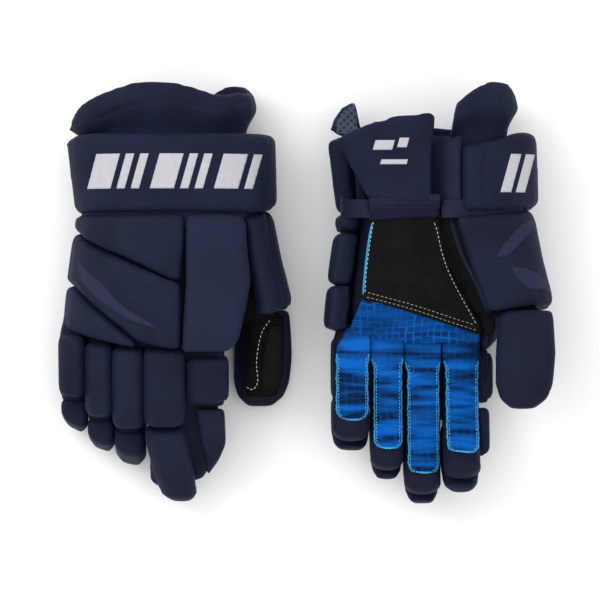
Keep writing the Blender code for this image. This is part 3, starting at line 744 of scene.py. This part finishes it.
# %% Pressed lines
for side in SIDES:
    press(casings[f"{side}_middle_back_roll"], side, "back",
          [[(-80, -60), (-62, -79), (-42, -95), (-16, -110)],
           [(-79, -52), (-60, -71), (-38, -88), (-10, -103)]], 2.6, 0.7)
    press(casings[f"{side}_cuff_roll"], side, "palm", [[(44, 6), (41, 30), (47, 60)]], 5.0, 1.6)
    press(casings[f"{side}_wrist_side_roll"], side, "palm",
          [[(58, -38), (66, -24), (80, -10), (92, -8)],
           [(62, -46), (76, -50), (92, -58), (104, -66)]], 3.4, 0.9)
    press(casings[f"{side}_wrist_side_roll"], side, "back", [[(82, 0), (88, -36), (96, -80)]],
          3.2, 2.2)
    low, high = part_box(f"{side}_index_base_roll")
    ridge = ((low.x + high.x) / 2 - WRIST[side].x) / MM
    press(casings[f"{side}_index_base_roll"], side, "back",
          [[(ridge + 1, -112), (ridge - 1, -178)], [(ridge + 5, -112), (ridge + 4, -178)]],
          1.9, 0.5)
    press(casings[f"{side}_cuff_insert"], side, "back",
          [[(-62, 78), (-20, 92), (20, 90), (56, 84)]], 4.0, 0.8)
    low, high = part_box(f"{side}_thumb_roll")
    left, right = (low.x - WRIST[side].x) / MM, (high.x - WRIST[side].x) / MM
    near, far = (low.y - WRIST[side].y) / MM, (high.y - WRIST[side].y) / MM
    press(casings[f"{side}_thumb_roll"], side, "palm",
          [[(left + 8, far - 2), (left + 8, near + 28), (left + 14, near + 10),
            (left + 26, near + 5), (right - 8, near + 16)]], 2.4, 1.0)
print("lines pressed")

# %% Finger joints, and baking a piece's transform
HAND_WAY = Vector((0, 1, 0))


def tip_centre(side, finger):
    corners = [v.co for v in frame["nodes"][f"{side}_{finger}_tip_sleeve"].data.vertices]
    return sum(corners, Vector()) / len(corners)


def joint_ways(side, finger, middle_joint):
    """A finger joint's place and the ways from it along the lengths before and after it."""
    knuckle = Vector(JOINTS[f"{side}_{finger}_knuckle"]["pos_m"])
    middle = Vector(JOINTS[f"{side}_{finger}_tip_joint"]["pos_m"])
    base_way = (middle - knuckle).normalized()
    if not middle_joint:
        return knuckle, HAND_WAY, base_way
    centre = tip_centre(side, finger)
    way = Vector((0, centre.y - middle.y, centre.z - middle.z)).normalized()
    return middle, -base_way, way


def across_joint(obj, a, b, pivot, before, after, reach=9.0):
    """Bakes obj's transform into its mesh; obj is not bent across the joint. The pivot and reach
    are not used.
    """
    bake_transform(obj)


# %% Lining the insert, and attaching all but the finger rolls
LINING_SIDE = -0.25      # how squarely a face looks inward to count as lining
INSERT_LINED = -62       # the insert shows its lining only beside the little finger
HAND_LINED = 70          # and the hand only this far from the wrist, in mm


def looks_inward(side, p):
    away = Vector((p.center.x - WRIST[side].x, 0, p.center.z - HAND_HEIGHT * MM))
    return p.normal.dot(away.normalized()) < LINING_SIDE


for side in SIDES:
    for part_name, (body, mat, voxel, draw_in, swell) in ROLLS.items():
        obj = casings[f"{side}_{part_name}"]
        if part_name == "cuff_insert":
            obj.data.materials.append(LINING_MESH)
            obj.data.materials.append(FINGER_CLOTH)
            for p in obj.data.polygons:
                if looks_inward(side, p):
                    beside = p.center.x - WRIST[side].x < INSERT_LINED * MM
                    p.material_index = 1 if beside else 2
        finger, _, length = part_name.partition("_")
        if length in ("base_roll", "tip_roll"):
            pivot, before, after = joint_ways(side, finger, length.startswith("tip"))
            across_joint(obj, f"{side}_{finger}_base" if length.startswith("tip")
                         else f"{side}_hand", f"{side}_{body}", pivot, before, after)
        else:
            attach(obj, f"{side}_{body}")
        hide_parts(f"{side}_{part_name}")

# %% [markdown]
# ## The hand inside
# Under the rolls is a thin fabric hand: one tube round the palm and one sleeve for the thumb.
# Both are remeshed from their solids, and the hand tube's inward faces near the wrist get the
# lining.

# %% Hand and thumb sleeves
for side in SIDES:
    hand = soft_copy(f"{side}_hand_liner", 2.4, 0.1, 4)
    hand.data.materials.append(FINGER_CLOTH)
    hand.data.materials.append(LINING_MESH)
    for p in hand.data.polygons:
        if p.center.y > WRIST[side].y - HAND_LINED * MM and looks_inward(side, p):
            p.material_index = 1
    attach(hand, f"{side}_hand")
    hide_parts(f"{side}_hand_liner")
    sleeve = soft_copy(f"{side}_thumb_sleeve", 2.0, 0.1, 4)
    sleeve.data.materials.append(KNIT)
    subdivide(sleeve)
    casings[f"{side}_thumb_sleeve"] = sleeve
    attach(sleeve, f"{side}_thumb")
    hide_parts(f"{side}_thumb_sleeve")
print("hands and thumb sleeves made")

# %% [markdown]
# ## Fingers
# A finger's fabric runs from inside the hand, round the knuckle and the middle joint, to the
# fingertip. It is one smooth tube in two lengths that meet halfway along the first segment.
# The tube turns each corner on a curve.

# %% Finger paths
TURN = 11.0              # length of each leg of the curve at a joint, in mm
TUBE_BACK = 17.0         # how far the tube reaches into the hand behind the knuckle
TUBE_POWER = 2.7         # squareness of the tube's section


def finger_path(side, name):
    """Points down the middle of a finger, each with the distance from its knuckle."""
    knuckle = Vector(JOINTS[f"{side}_{name}_knuckle"]["pos_m"])
    middle = Vector(JOINTS[f"{side}_{name}_tip_joint"]["pos_m"])
    corners = [v.co for v in frame["nodes"][f"{side}_{name}_tip_sleeve"].data.vertices]
    low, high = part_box(f"{side}_{name}_base_sleeve")
    mid_x = (low.x + high.x) / 2
    way = joint_ways(side, name, True)[2]
    reach = max((c - middle).dot(way) for c in corners)
    knots = [Vector((mid_x, knuckle.y + TUBE_BACK * MM, knuckle.z)),
             Vector((mid_x, knuckle.y, knuckle.z)), Vector((mid_x, middle.y, middle.z))]
    knots.append(knots[2] + way * reach)
    line = [knots[0]]
    for i in (1, 2):
        before = (knots[i - 1] - knots[i]).normalized() * TURN * MM
        after = (knots[i + 1] - knots[i]).normalized() * TURN * MM
        for k in range(13):
            t = k / 12
            line.append(knots[i] + before * (1 - t) ** 2 + after * t * t)
    line.append(knots[3])
    even = []
    for a, b in zip(line, line[1:]):
        count = max(1, round((b - a).length / (1.25 * MM)))
        even += [a.lerp(b, k / count) for k in range(count)]
    even.append(line[-1])
    half = (high.x - low.x) / 2 / MM + 0.25
    return {"line": even, "half": half, "knuckle": knots[1], "middle": knots[2],
            "base": (knots[2] - knots[1]).length}


def frames_along(line, back):
    """Direction and back-of-hand direction at each point of a path in one upright plane."""
    made = []
    for i, p in enumerate(line):
        ahead = (line[min(i + 1, len(line) - 1)] - line[max(i - 1, 0)]).normalized()
        up = Vector((0, -ahead.z, ahead.y)).normalized()
        made.append((ahead, up if up.z * back > 0 or abs(up.z) < 1e-6 else -up))
    for i in range(1, len(made)):
        if made[i][1].dot(made[i - 1][1]) < 0:
            made[i] = (made[i][0], -made[i][1])
    return made


def depth_at(x, half, tall):
    """Half thickness of the tube at a place across it."""
    return tall * max(0.0, 1 - abs(x / half) ** TUBE_POWER) ** (1 / TUBE_POWER)


TALL = 12.2              # half thickness of a finger tube
RING = 26                # points round it


def finger_tube(name, side, path, first, last, closed_end):
    """The tube between two points of the path, closed over the fingertip if asked."""
    line, half = path["line"], path["half"]
    ways = frames_along(line, BACK_UP[side])
    verts = []
    rows = list(range(first, last + 1))
    for i in rows:
        ahead, up = ways[i]
        left = len(line) - 1 - i
        round_off = math.sqrt(max(0.0, 1 - (1 - min(1.0, (left + 0.4) / 8)) ** 2)) \
            if closed_end else 1.0 - 0.3 * (1 - smooth(i / 12))
        for k in range(RING):
            a = 2 * math.pi * k / RING
            c, s = math.cos(a), math.sin(a)
            x = half * math.copysign(abs(c) ** (2 / TUBE_POWER), c)
            z = TALL * math.copysign(abs(s) ** (2 / TUBE_POWER), s)
            p = line[i] + Vector((x * MM, 0, 0)) * round_off + up * z * MM * round_off
            ripple = noise.noise(p * 90) * 0.5 + noise.noise(p * 260) * 0.2
            out = (Vector((x, 0, 0)) + up * z).normalized()
            verts.append(p + out * ripple * MM)
    faces = ring_faces(len(rows), RING)
    if closed_end:
        faces.append(tuple(range(len(verts) - RING, len(verts))))
    obj = make_object(name, verts, faces, FINGER_CLOTH)
    face_outward(obj)
    if not closed_end:
        thicken(obj, 0.8)
    return obj


# %% [markdown]
# The palm side of each finger is a strip of the blue grip leather, cut raw at its edges, which
# pucker where they are stitched down. Folds run across it where the finger has been bent.

# %% Finger strips
LITTLE_INSET = 12.0      # the little finger's leather starts this far from its outer edge
SEAM_INSET = 2.3         # the stitches run this far inside the leather's edge
STRIP_LIFT = 1.5         # outer face of the leather above the finger tube, in mm
SLIT_START = 6.0         # where two fingers' leathers part, in mm past the knuckle


def strip_width(side, name, path, s):
    """Left and right edge of the leather, across from the tube's middle, s mm from the
    knuckle: as wide as the column at the palm, then narrower."""
    half = path["half"]
    wide = smooth((s - SLIT_START) / 12)
    left = mix(-half, -half + 3.0, wide)
    if name == "little":
        left = mix(-half + LITTLE_INSET, -half + 3.0, smooth((s + TUBE_BACK) / 26))
    return left, mix(half + 0.2, half - 1.2, wide)


def strip_face(path, side, ways, i, x, s, seed):
    """Point on the outer face of the leather over the palm side of the tube."""
    curl = mix(0.5, 0.93, smooth((s - SLIT_START + 2) / 12))
    flat = depth_at(x * curl, path["half"], TALL)
    lean = x * 0.035 * math.sin(seed)
    fold = math.sin(s * 0.74 + lean * 6 + 1.4 * noise.noise(Vector((x * 0.05, s * 0.06, seed))))
    fold = math.copysign(abs(fold) ** 0.75, fold)
    far = smooth((s - 2) / 26)
    wrinkle = (0.15 + 0.75 * far) * fold + 0.5 * noise.noise(Vector((x, s, seed)) * 0.16)
    rise = STRIP_LIFT + wrinkle + 2.5 * (1 - smooth((s + TUBE_BACK) / 20))
    ahead, up = ways[i]
    return path["line"][i] + Vector((x * MM, 0, 0)) - up * (flat + rise) * MM


def finger_strip(name, side, finger, path, first, last, distances, end_cut):
    """Leather from one point of the path to another; the last edge may be cut round."""
    ways = frames_along(path["line"], BACK_UP[side])
    seed = len(finger) * 1.7 + (3.1 if side == "left" else 0.0)
    shares = [0.0, 0.045] + [mix(0.045, 0.955, k / 16) for k in range(1, 16)] + [0.955, 1.0]
    rows, pairs, normals = [], [], []
    for i in range(first, last + 1):
        s = distances[i]
        left, right = strip_width(side, finger, path, s)
        if end_cut:
            rest = (distances[last] - s) / 9.0
            draw = (1 - math.sqrt(max(0.0, 1 - (1 - min(1.0, rest)) ** 2))) * 0.36
            left, right = mix(left, right, draw), mix(right, left, draw)
        fray = (0.9 * noise.noise(Vector((s * 0.45, seed, 2)))
                + 0.6 * noise.noise(Vector((s * 1.4, seed, 6)))) * smooth((s - SLIT_START) / 6)
        row = []
        for t in shares:
            x = mix(left - fray, right + fray, t)
            p = strip_face(path, side, ways, i, x, s, seed)
            if t in (0.0, 1.0):
                p -= ways[i][1] * 0.35 * noise.noise(Vector((s * 0.9, seed, t * 5))) * MM
            row.append(p)
        rows.append(row)
        if s > SLIT_START + 4:
            pairs.append([strip_face(path, side, ways, i, mix(left, right, t), s, seed)
                          for t in (SEAM_INSET / (right - left),
                                    1 - SEAM_INSET / (right - left))])
            normals.append(-ways[i][1])
    cols = len(shares)
    verts = [p for row in rows for p in row]
    # The grip leather's colour also carries painted fold shade and highlight, besides these folds
    # in the surface.
    obj = make_object(name, verts, grid_faces(len(rows), cols), FINGER_GRIP, RAW_EDGE)
    for k, p in enumerate(obj.data.polygons):
        c, r = k % (cols - 1), k // (cols - 1)
        loose = distances[first + r] > SLIT_START + 3
        if (loose and c in (0, cols - 2)) or (end_cut and r >= len(rows) - 2):
            p.material_index = 1
    bm = bmesh.new()
    bm.from_mesh(obj.data)
    bm.normal_update()
    middle = bm.faces[:][len(bm.faces) // 2]
    if middle.normal.dot(normals[len(normals) // 2]) < 0:
        bmesh.ops.reverse_faces(bm, faces=bm.faces)
    bm.to_mesh(obj.data)
    bm.free()
    thicken(obj, 1.1)
    left_line = [p[0] for p in pairs]
    right_line = [p[1] for p in pairs]
    if end_cut:
        left_line = left_line + right_line[::-1]
        normals = normals + normals[::-1]
        return obj, [(left_line, normals)]
    return obj, [(left_line, normals), (right_line, normals)]


# %% Making the fingers
for side in SIDES:
    for finger in FINGERS:
        path = finger_path(side, finger)
        line = path["line"]
        distances, run = [], -TUBE_BACK
        for i, p in enumerate(line):
            run += (p - line[i - 1]).length / MM if i else 0.0
            distances.append(run)
        half_way = min(range(len(line)), key=lambda i: abs(distances[i] - path["base"] / MM / 2))
        end_strip = min(range(len(line)), key=lambda i: abs(distances[i] - distances[-1] + 15))
        bodies = [f"{side}_hand", f"{side}_{finger}_base", f"{side}_{finger}_tip"]
        joints = [joint_ways(side, finger, False), joint_ways(side, finger, True)]
        spans = [("lower", 0, half_way, False), ("upper", half_way, len(line) - 1, True)]
        strip_spans = [(3, half_way, False), (half_way, end_strip, True)]
        for k, (word, first, last, closed_end) in enumerate(spans):
            tube = finger_tube(f"{side}_{finger}_{word}_cloth", side, path, first, last,
                               closed_end)
            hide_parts(f"{side}_{finger}_{('base', 'tip')[k]}_sleeve")
            start, stop, cut = strip_spans[k]
            strip, seams = finger_strip(f"{side}_{finger}_{word}_leather", side, finger, path,
                                        start, stop, distances, cut)
            pieces = [tube, strip]
            for n, (points, normals) in enumerate(seams):
                pieces.append(thread_run(f"{side}_{finger}_{word}_stitches_{n}", points,
                                         normals, BLUE_THREAD, 1.7, 1.3, 0.24))
            for piece in pieces:
                across_joint(piece, bodies[k], bodies[k + 1], *joints[k])
print("fingers made")

# %% [markdown]
# Beside the index finger the roll of the first segment has a partner on the fingertip. Dark
# stretch cloth joins both to the finger and shows in the grooves between them.

# %% Index finger's side
# places on the glove with the height of the upper face there, then the thickness, in mm
BLOCKS = {
    "right": {
        "index_tip_side_roll": ("index_tip", NAVY_TWILL, [
            (22, -164, 68), (46, -164, 64), (47, -194, 56), (41, -208, 48), (31, -222, 38),
            (27, -196, 55)], 20),
        "index_tip_gusset": ("index_tip", FINGER_CLOTH, [
            (6, -158, 62), (41, -160, 58), (41, -200, 48), (27, -224, 36), (12, -228, 36)], 16),
        "index_side_gusset": ("index_base", FINGER_CLOTH, [
            (4, -108, 74), (46, -110, 74), (46, -162, 66), (4, -162, 66)], 20)},
    "left": {
        "index_tip_side_roll": ("index_tip", NAVY_TWILL, [
            (40, -164, 46), (50, -164, 44), (50, -200, 54), (40, -206, 56)], 26),
        "index_side_gusset": ("index_base", FINGER_CLOTH, [
            (34, -112, 40), (49, -114, 40), (49, -160, 40), (34, -160, 40)], 22)}}


BLOCK_VOXEL = 1.6
BLOCK_ROUNDS = 14


def block(name, side, corners, thick, mat):
    """A rounded block of padding between two faces of the same outline."""
    tops = [Vector((*spot(side, a, b), h * MM)) for a, b, h in corners]
    count = len(tops)
    verts = tops + [p - Vector((0, 0, thick * MM)) for p in tops]
    faces = [tuple(range(count)), tuple(range(2 * count - 1, count - 1, -1))]
    faces += [(k, k + count, (k + 1) % count + count, (k + 1) % count) for k in range(count)]
    obj = make_object(name, verts, faces, mat)
    face_outward(obj)
    obj.data.materials.clear()
    remesh(obj, BLOCK_VOXEL)
    relax(obj, BLOCK_ROUNDS)
    obj.data.materials.append(mat)
    obj.data.shade_smooth()
    return obj


for side in SIDES:
    for name, (body, mat, corners, thick) in BLOCKS[side].items():
        made = block(f"{side}_{name}_casing", side, corners, thick, mat)
        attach(made, f"{side}_{body}")
print("index fingers' sides made")

# %% [markdown]
# ## The palm
# The leathers of the palm are flat-cut panels. The black heel is sewn over the blue grip with
# two rows of beige thread, and the edge beside the little finger is left raw.

# %% Palm leathers
HEEL = [(-51, -3), (-34, -1), (-14, -1), (3, -4), (6, -12), (11, -34), (20, -56), (42, -95),
        (40, -101), (21, -95), (-14, -84), (-44, -75), (-59, -71), (-57, -50), (-54, -25)]
HEEL_STRAIGHT = 2.0


def palm_relief(across, along):
    """Shallow folds and dents of leather that has been gripped, in millimetres."""
    place = Vector((across, along, 3.0))
    return (0.9 * noise.noise(place * 0.045) + 0.35 * noise.noise(place * 0.13)
            + 0.25 * math.sin(along * 0.5 + across * 0.12) * smooth((-along - 80) / 20))


for side in SIDES:
    nodes = frame["nodes"]
    bed = tree_of([nodes[f"{side}_heel_palm"], nodes[f"{side}_grip_palm"]])
    heel = panel(f"{side}_heel_leather", side, "palm", bed, closed(HEEL, HEEL_STRAIGHT), 1.4,
                 (BLACK_SUEDE, OLIVE_EDGE), 2.5, palm_relief, 0.8, 6, 0.7)
    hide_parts(f"{side}_heel_palm")
    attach(heel, f"{side}_hand")
    paths = {f: finger_path(side, f) for f in FINGERS}
    columns = []
    for f in FINGERS:
        low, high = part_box(f"{side}_{f}_base_sleeve")
        back = (paths[f]["knuckle"].y - WRIST[side].y) / MM + TUBE_BACK - 9.0
        columns.append(((low.x - WRIST[side].x) / MM, (high.x - WRIST[side].x) / MM, back))
    front = []
    for f, (left, right, back) in zip(FINGERS, columns):
        inner = left + (LITTLE_INSET if f == "little" else 0.0)
        front += [(inner, back), (right + 0.4, back)]
    grip = [(-57, -68), (-40, -72), (-14, -80), (20, -92), (41, -98)]
    grip += [(min(41, front[-1][0] + 6), front[-1][1])] + front[::-1]
    grip_obj = panel(f"{side}_grip_leather", side, "palm", bed, grip, 1.2,
                     (BLUE_GRIP, RAW_EDGE), 2.0, palm_relief, 0.0, 6, -0.4)
    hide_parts(f"{side}_grip_palm")
    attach(grip_obj, f"{side}_hand")
    top = tree_of([heel, grip_obj])
    seams = {
        "left": [(-49, -6), (-52, -25), (-55, -50), (-56, -68)],
        "right": [(1, -7), (4, -14), (9, -35), (18, -57), (38, -93)],
        "cross_a": [(-56, -70), (-43, -73), (-14, -81), (19, -92), (38, -98)],
        "cross_b": [(-55, -66), (-42, -69.5), (-13, -77.5), (19, -88), (38, -94)],
    }
    for word, points in seams.items():
        mat = WHITE_THREAD if word in ("left", "right") else BEIGE_THREAD
        seam = thread_run(f"{side}_palm_stitches_{word}",
                          *laid(side, "palm", top, points, 0.8), mat, 2.3, 1.5, 0.22)
        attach(seam, f"{side}_hand")
    edge = piping(f"{side}_palm_raw_edge",
                  *laid(side, "palm", top, [(-50.2, -8), (-53.2, -25), (-56.2, -50),
                                            (-57.6, -68)], 1.2), 0.8, RAW_EDGE, 0.2)
    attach(edge, f"{side}_hand")
print("palms made")

# %% [markdown]
# ## Gussets and bindings
# Between the palm and the thumb is a web of the heel's black suede with one cord along it. At
# the wrist a band of navy binding tape joins the palm to the cuff's flap, and another runs under
# the rolls from the hand to the cuff. A gusset of the same tape closes the cuff behind its flap.

# %% Web between palm and thumb
WEB = [(4, -1), (14, -1), (22, -2), (28, -25), (38, -50), (49, -78), (54, -96), (49, -103),
       (43, -99), (40, -90), (21, -56), (11, -34), (6, -12)]
for side in SIDES:
    nodes = frame["nodes"]
    bed = tree_of([nodes[f"{side}_hand_liner"], nodes[f"{side}_heel_palm"],
                   casings[f"{side}_wrist_side_roll"]])
    web = panel(f"{side}_thumb_web", side, "palm", bed, closed(WEB), 1.0, (BLACK_SUEDE,), 2.5,
                lambda a, b: 0.8 * noise.noise(Vector((a, b, 0)) * 0.08), 0.0, 14, 0.3)
    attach(web, f"{side}_hand")
    top = tree_of([web])
    cord = piping(f"{side}_web_piping", *laid(side, "palm", top, [
        (16, -5), (21, -22), (27, -38), (38, -60), (47, -82)], 1.5), 2.6, PIPING_CLOTH, 0.1)
    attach(cord, f"{side}_hand")
print("webs made")

# %% Bands across the wrist
BAND_DEPTH = 8.5         # the band lies this far inside the cuff roll, in mm
TAPE = 1.2               # thickness of the binding tape
SECTION_MID = 38.0       # middle of the glove's section above the palm side of the cuff
BACK_RISE = 56.0
PALM_RISE = 42.0


def hull(side, turn, depth):
    """World x and z on the glove's section at the wrist, depth mm inside it."""
    low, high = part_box(f"{side}_cuff_roll")
    a = math.radians(turn)
    s, c = math.sin(a), math.cos(a)
    wide = (WRIST[side].x - low.x if s < 0 else high.x - WRIST[side].x) / MM - 2.0 - depth
    tall = (BACK_RISE if c > 0 else PALM_RISE) - depth
    x = wide * math.copysign(abs(s) ** 0.87, s)
    w = SECTION_MID + tall * math.copysign(abs(c) ** 0.87, c)
    w = min(max(w, depth), GLOVE_HEIGHT - depth)
    height = w if BACK_UP[side] > 0 else GLOVE_HEIGHT - w
    return WRIST[side].x + x * MM, height * MM


for side in SIDES:
    verts = []
    turns = [mix(-140, 176, k / 63) for k in range(64)]
    rows = [mix(-13, 15, k / 14) for k in range(15)]
    for along in rows:
        for turn in turns:
            x, z = hull(side, turn, BAND_DEPTH + 0.6 * noise.noise(Vector((turn * 0.1, along, 0))))
            slim = smooth((abs(turn) - 95) / 20)
            y = WRIST[side].y + mix(along, along * 0.55 + 3, slim) * MM
            verts.append((x, y, z))
    band = make_object(f"{side}_wrist_cloth", verts, grid_faces(len(rows), len(turns)),
                       PIPING_CLOTH)
    thicken(band, TAPE)
    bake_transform(band)

    palm_bed = tree_of([bpy.data.objects[f"{side}_heel_leather"]])
    flap_bed = tree_of([casings[f"{side}_cuff_flap"]])
    out = facing(side, "palm")
    verts = []
    columns = [mix(-53, 6, k / 26) for k in range(27)]
    for k in range(10):
        t = k / 9
        for across in columns:
            low_hit = drop(side, "palm", palm_bed, max(min(across, 2), -48), -4.5)
            high_hit = drop(side, "palm", flap_bed, max(min(across, -8), -50), 14.5)
            z = mix(low_hit[0].z, high_hit[0].z - out.z * 2.0 * MM, smooth(t))
            bow = 2.2 * math.sin(math.pi * t) + 0.4 * noise.noise(Vector((across * 0.2, t, 0)))
            x, y = spot(side, across, mix(-4.5, 13.5, t) + 1.5 * math.cos(across * 0.05))
            verts.append((x, y, z + out.z * (bow + 0.4) * MM))
    strap = make_object(f"{side}_wrist_binding", verts, grid_faces(10, len(columns)),
                        PIPING_CLOTH)
    thicken(strap, TAPE, 0.0)
    strap_bed = tree_of([strap])
    rows_of_thread = [thread_run(f"{side}_wrist_stitches_{n}",
                                 *laid(side, "palm", strap_bed, [(-49, a), (-20, a + 1.0),
                                                                 (2, a)], 0.8),
                                 NAVY_THREAD, 2.2, 1.2, 0.34)
                      for n, a in enumerate((4.0, 8.0))]
    for piece in [strap] + rows_of_thread:
        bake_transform(piece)

    verts = []
    lengths, widths = 18, 12
    for r in range(lengths):
        for c in range(widths):
            t = c / (widths - 1)
            deep = mix(9, 28, smooth(t)) + 0.7 * noise.noise(Vector((r * 0.3, c * 0.4, 7)))
            height = GLOVE_HEIGHT - deep if BACK_UP[side] < 0 else deep
            x, y = spot(side, mix(24, -14, t), mix(9, 64, r / (lengths - 1)))
            verts.append((x, y, height * MM))
    wall_cloth = make_object(f"{side}_cuff_gusset", verts, grid_faces(lengths, widths),
                             PIPING_CLOTH)
    thicken(wall_cloth, TAPE)
    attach(wall_cloth, f"{side}_cuff")
print("wrist bands made")

# %% [markdown]
# The thumb's black knit sleeve has a stitched curve where its two halves meet, and a gusset
# joins it to the hand.

# %% Thumb seams and gusset
for side in SIDES:
    low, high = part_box(f"{side}_thumb_sleeve")
    left, right = (low.x - WRIST[side].x) / MM, (high.x - WRIST[side].x) / MM
    near, far = (low.y - WRIST[side].y) / MM, (high.y - WRIST[side].y) / MM
    top = tree_of([casings[f"{side}_thumb_sleeve"]])
    bend = [(left + 25, far - 3), (left + 17, far - 16), (left + 13, near + 32),
            (left + 14, near + 15), (left + 10, near + 8), (left + 4, near + 10)]
    seam = thread_run(f"{side}_thumb_stitches", *laid(side, "back", top, bend, 0.8),
                      WHITE_THREAD, 2.3, 1.4, 0.24)
    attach(seam, f"{side}_thumb")
    inner = [(left + 24, far - 8), (left + 18, near + 30), (left + 19, near + 10),
             (right - 6, near + 12), (right - 4, near + 30), (right - 5, far - 12)]
    patch = panel(f"{side}_thumb_patch", side, "back", top, closed(inner), 0.7,
                  (BLACK_SUEDE,), 2.0, None, 0.0, 4, 0.2)
    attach(patch, f"{side}_thumb")

    verts = []
    thumb_mid = (low + high) / 2
    rings, count = 9, 24
    inner_x = WRIST[side].x + 46 * MM
    for r in range(rings):
        t = r / (rings - 1)
        centre = Vector((mix(thumb_mid.x, inner_x, smooth(t)), high.y + mix(-7, 26, t) * MM,
                         thumb_mid.z + BACK_UP[side] * 13 * MM * smooth(t)))
        wide = mix((high.x - low.x) / 2 - 1.5 * MM, 24 * MM, t)
        tall = mix((high.z - low.z) / 2 - 1.5 * MM, 13 * MM, t)
        for k in range(count):
            a = 2 * math.pi * k / count
            c, s = math.cos(a), math.sin(a)
            p = centre + Vector((wide * math.copysign(abs(c) ** 0.8, c), 0,
                                 tall * math.copysign(abs(s) ** 0.8, s)))
            verts.append(p + Vector((0, 0, 0.8 * MM * noise.noise(p * 80))))
    gusset = make_object(f"{side}_thumb_gusset", verts, ring_faces(rings, count), KNIT)
    thicken(gusset, 1.0)
    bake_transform(gusset)
print("thumbs made")

# %% [markdown]
# ## Print
# Real gloves carry lettering here. These carry plain slanted bars in white ink on the cuff,
# three small ones on its flap, and slate strokes on the back and on the wrist pad.

# %% Printed bars
LEAN = 9.0               # how far the top of a bar leans over its foot, in mm


def bar(left, wide, foot, top):
    lean = LEAN * (top - foot) / 32
    return [(left, foot), (left + wide, foot), (left + wide + lean, top), (left + lean, top)]


def dense(outline, step=2.0):
    """The same straight-sided outline with points every step millimetres."""
    out = []
    for a, b in zip(outline, outline[1:] + outline[:1]):
        count = max(1, round(math.dist(a, b) / step))
        out += [(mix(a[0], b[0], k / count), mix(a[1], b[1], k / count)) for k in range(count)]
    return out


STREAK = [(-77, -38), (-66, -50), (-54, -60), (-43, -73), (-29, -83), (-8, -96), (-33, -89),
          (-49, -79), (-61, -70), (-73, -55)]
PETALS = [[(52, -37), (60, -25), (74, -10), (82, -6), (85, -11), (78, -20), (62, -36)],
          [(64, -44), (80, -47), (93, -54), (96, -60), (86, -64), (73, -58)]]
# roll that carries them, body, face, cell, and each bar's left edge, width, foot and top, in mm
BARS = {
    "cuff_bar": ("cuff_roll", "cuff", "back", 2.0, [
        (left, wide, 20, 49) for left, wide in ((-68, 20), (-43, 7), (-31, 7), (-15, 20),
                                                (10, 7), (22, 7), (38, 20), (63, 7))]),
    "cuff_side_bar": ("cuff_roll", "cuff", "palm", 2.0, [(56, 9, 17, 49), (69, 8, 17, 49)]),
    "flap_bar": ("cuff_flap", "flap", "palm", 1.5, [(-50, 16, 52, 60), (-30, 8, 54, 62),
                                                    (-44, 22, 40, 44)])}
for side in SIDES:
    prints = []
    for word, (roll, body, face, cell, bars) in BARS.items():
        top = tree_of([casings[f"{side}_{roll}"]])
        for k, edges in enumerate(bars):
            prints.append((panel(f"{side}_{word}_{k}", side, face, top, dense(bar(*edges)),
                                 0.25, (WHITE_INK,), cell, None, 0.0, 1, 0.12), body))
    back_top = tree_of([casings[f"{side}_middle_back_roll"]])
    prints.append((panel(f"{side}_back_stroke", side, "back", back_top, closed(STREAK, 2.5),
                         0.2, (SLATE_INK,), 2.5, None, 0.0, 1, 0.1), "hand"))
    pad_top = tree_of([casings[f"{side}_wrist_side_roll"]])
    for k, petal in enumerate(PETALS):
        prints.append((panel(f"{side}_wrist_stroke_{k}", side, "palm", pad_top,
                             closed(petal, 2.5), 0.2, (SLATE_INK,), 2.5, None, 0.0, 1, 0.1),
                       "hand"))
    for obj, body in prints:
        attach(obj, f"{side}_{body}")
print("prints laid")

# %% [markdown]
# ## Floor, light and camera
# A pale floor and large soft lamps, as for a shop picture: one big lamp above and to the left
# gives the rolls their light edges, and a wide one opposite keeps the grooves readable.

# %% Stage
FLOOR_GREY = linear("#f4f4f5")
floor_mat = bpy.data.materials.new("pale paper floor")
floor_mat.use_nodes = True
floor_shader = floor_mat.node_tree.nodes["Principled BSDF"]
floor_shader.inputs["Base Color"].default_value = FLOOR_GREY
floor_shader.inputs["Roughness"].default_value = 0.9
floor = make_object("floor", [(-4, -4, -0.0005), (4, -4, -0.0005), (4, 4, -0.0005),
                              (-4, 4, -0.0005)], [(0, 1, 2, 3)], floor_mat)

world = bpy.data.worlds.new("studio")
world.use_nodes = True
world.node_tree.nodes["Background"].inputs["Color"].default_value = (1, 1, 1, 1)
world.node_tree.nodes["Background"].inputs["Strength"].default_value = 1.1
bpy.context.scene.world = world
bpy.context.scene.view_settings.view_transform = "Standard"


def lamp(name, place, aim, size, power):
    data = bpy.data.lights.new(name, "AREA")
    data.shape = "SQUARE"
    data.size = size
    data.energy = power
    obj = bpy.data.objects.new(name, data)
    bpy.context.scene.collection.objects.link(obj)
    obj.location = place
    obj.rotation_euler = (Vector(aim) - Vector(place)).to_track_quat("-Z", "Y").to_euler()
    return obj


lamp("key lamp", (-1.0, 0.7, 1.3), (0, 0, 0.03), 0.9, 9)
lamp("fill lamp", (1.3, -0.6, 1.4), (0, 0, 0.03), 1.2, 2)
lamp("top lamp", (0.1, 0.3, 1.9), (0, 0, 0), 1.6, 5)

SEEN = 0.506             # width of the picture at the gloves, in metres
CAMERA_HEIGHT = 2.6
camera_data = bpy.data.cameras.new("camera")
camera_data.angle = 2 * math.atan(SEEN / 2 / (CAMERA_HEIGHT - 0.05))
camera = bpy.data.objects.new("camera", camera_data)
bpy.context.scene.collection.objects.link(camera)
camera.location = (-0.0055, -0.0057, CAMERA_HEIGHT)
bpy.context.scene.camera = camera
print("stage set")
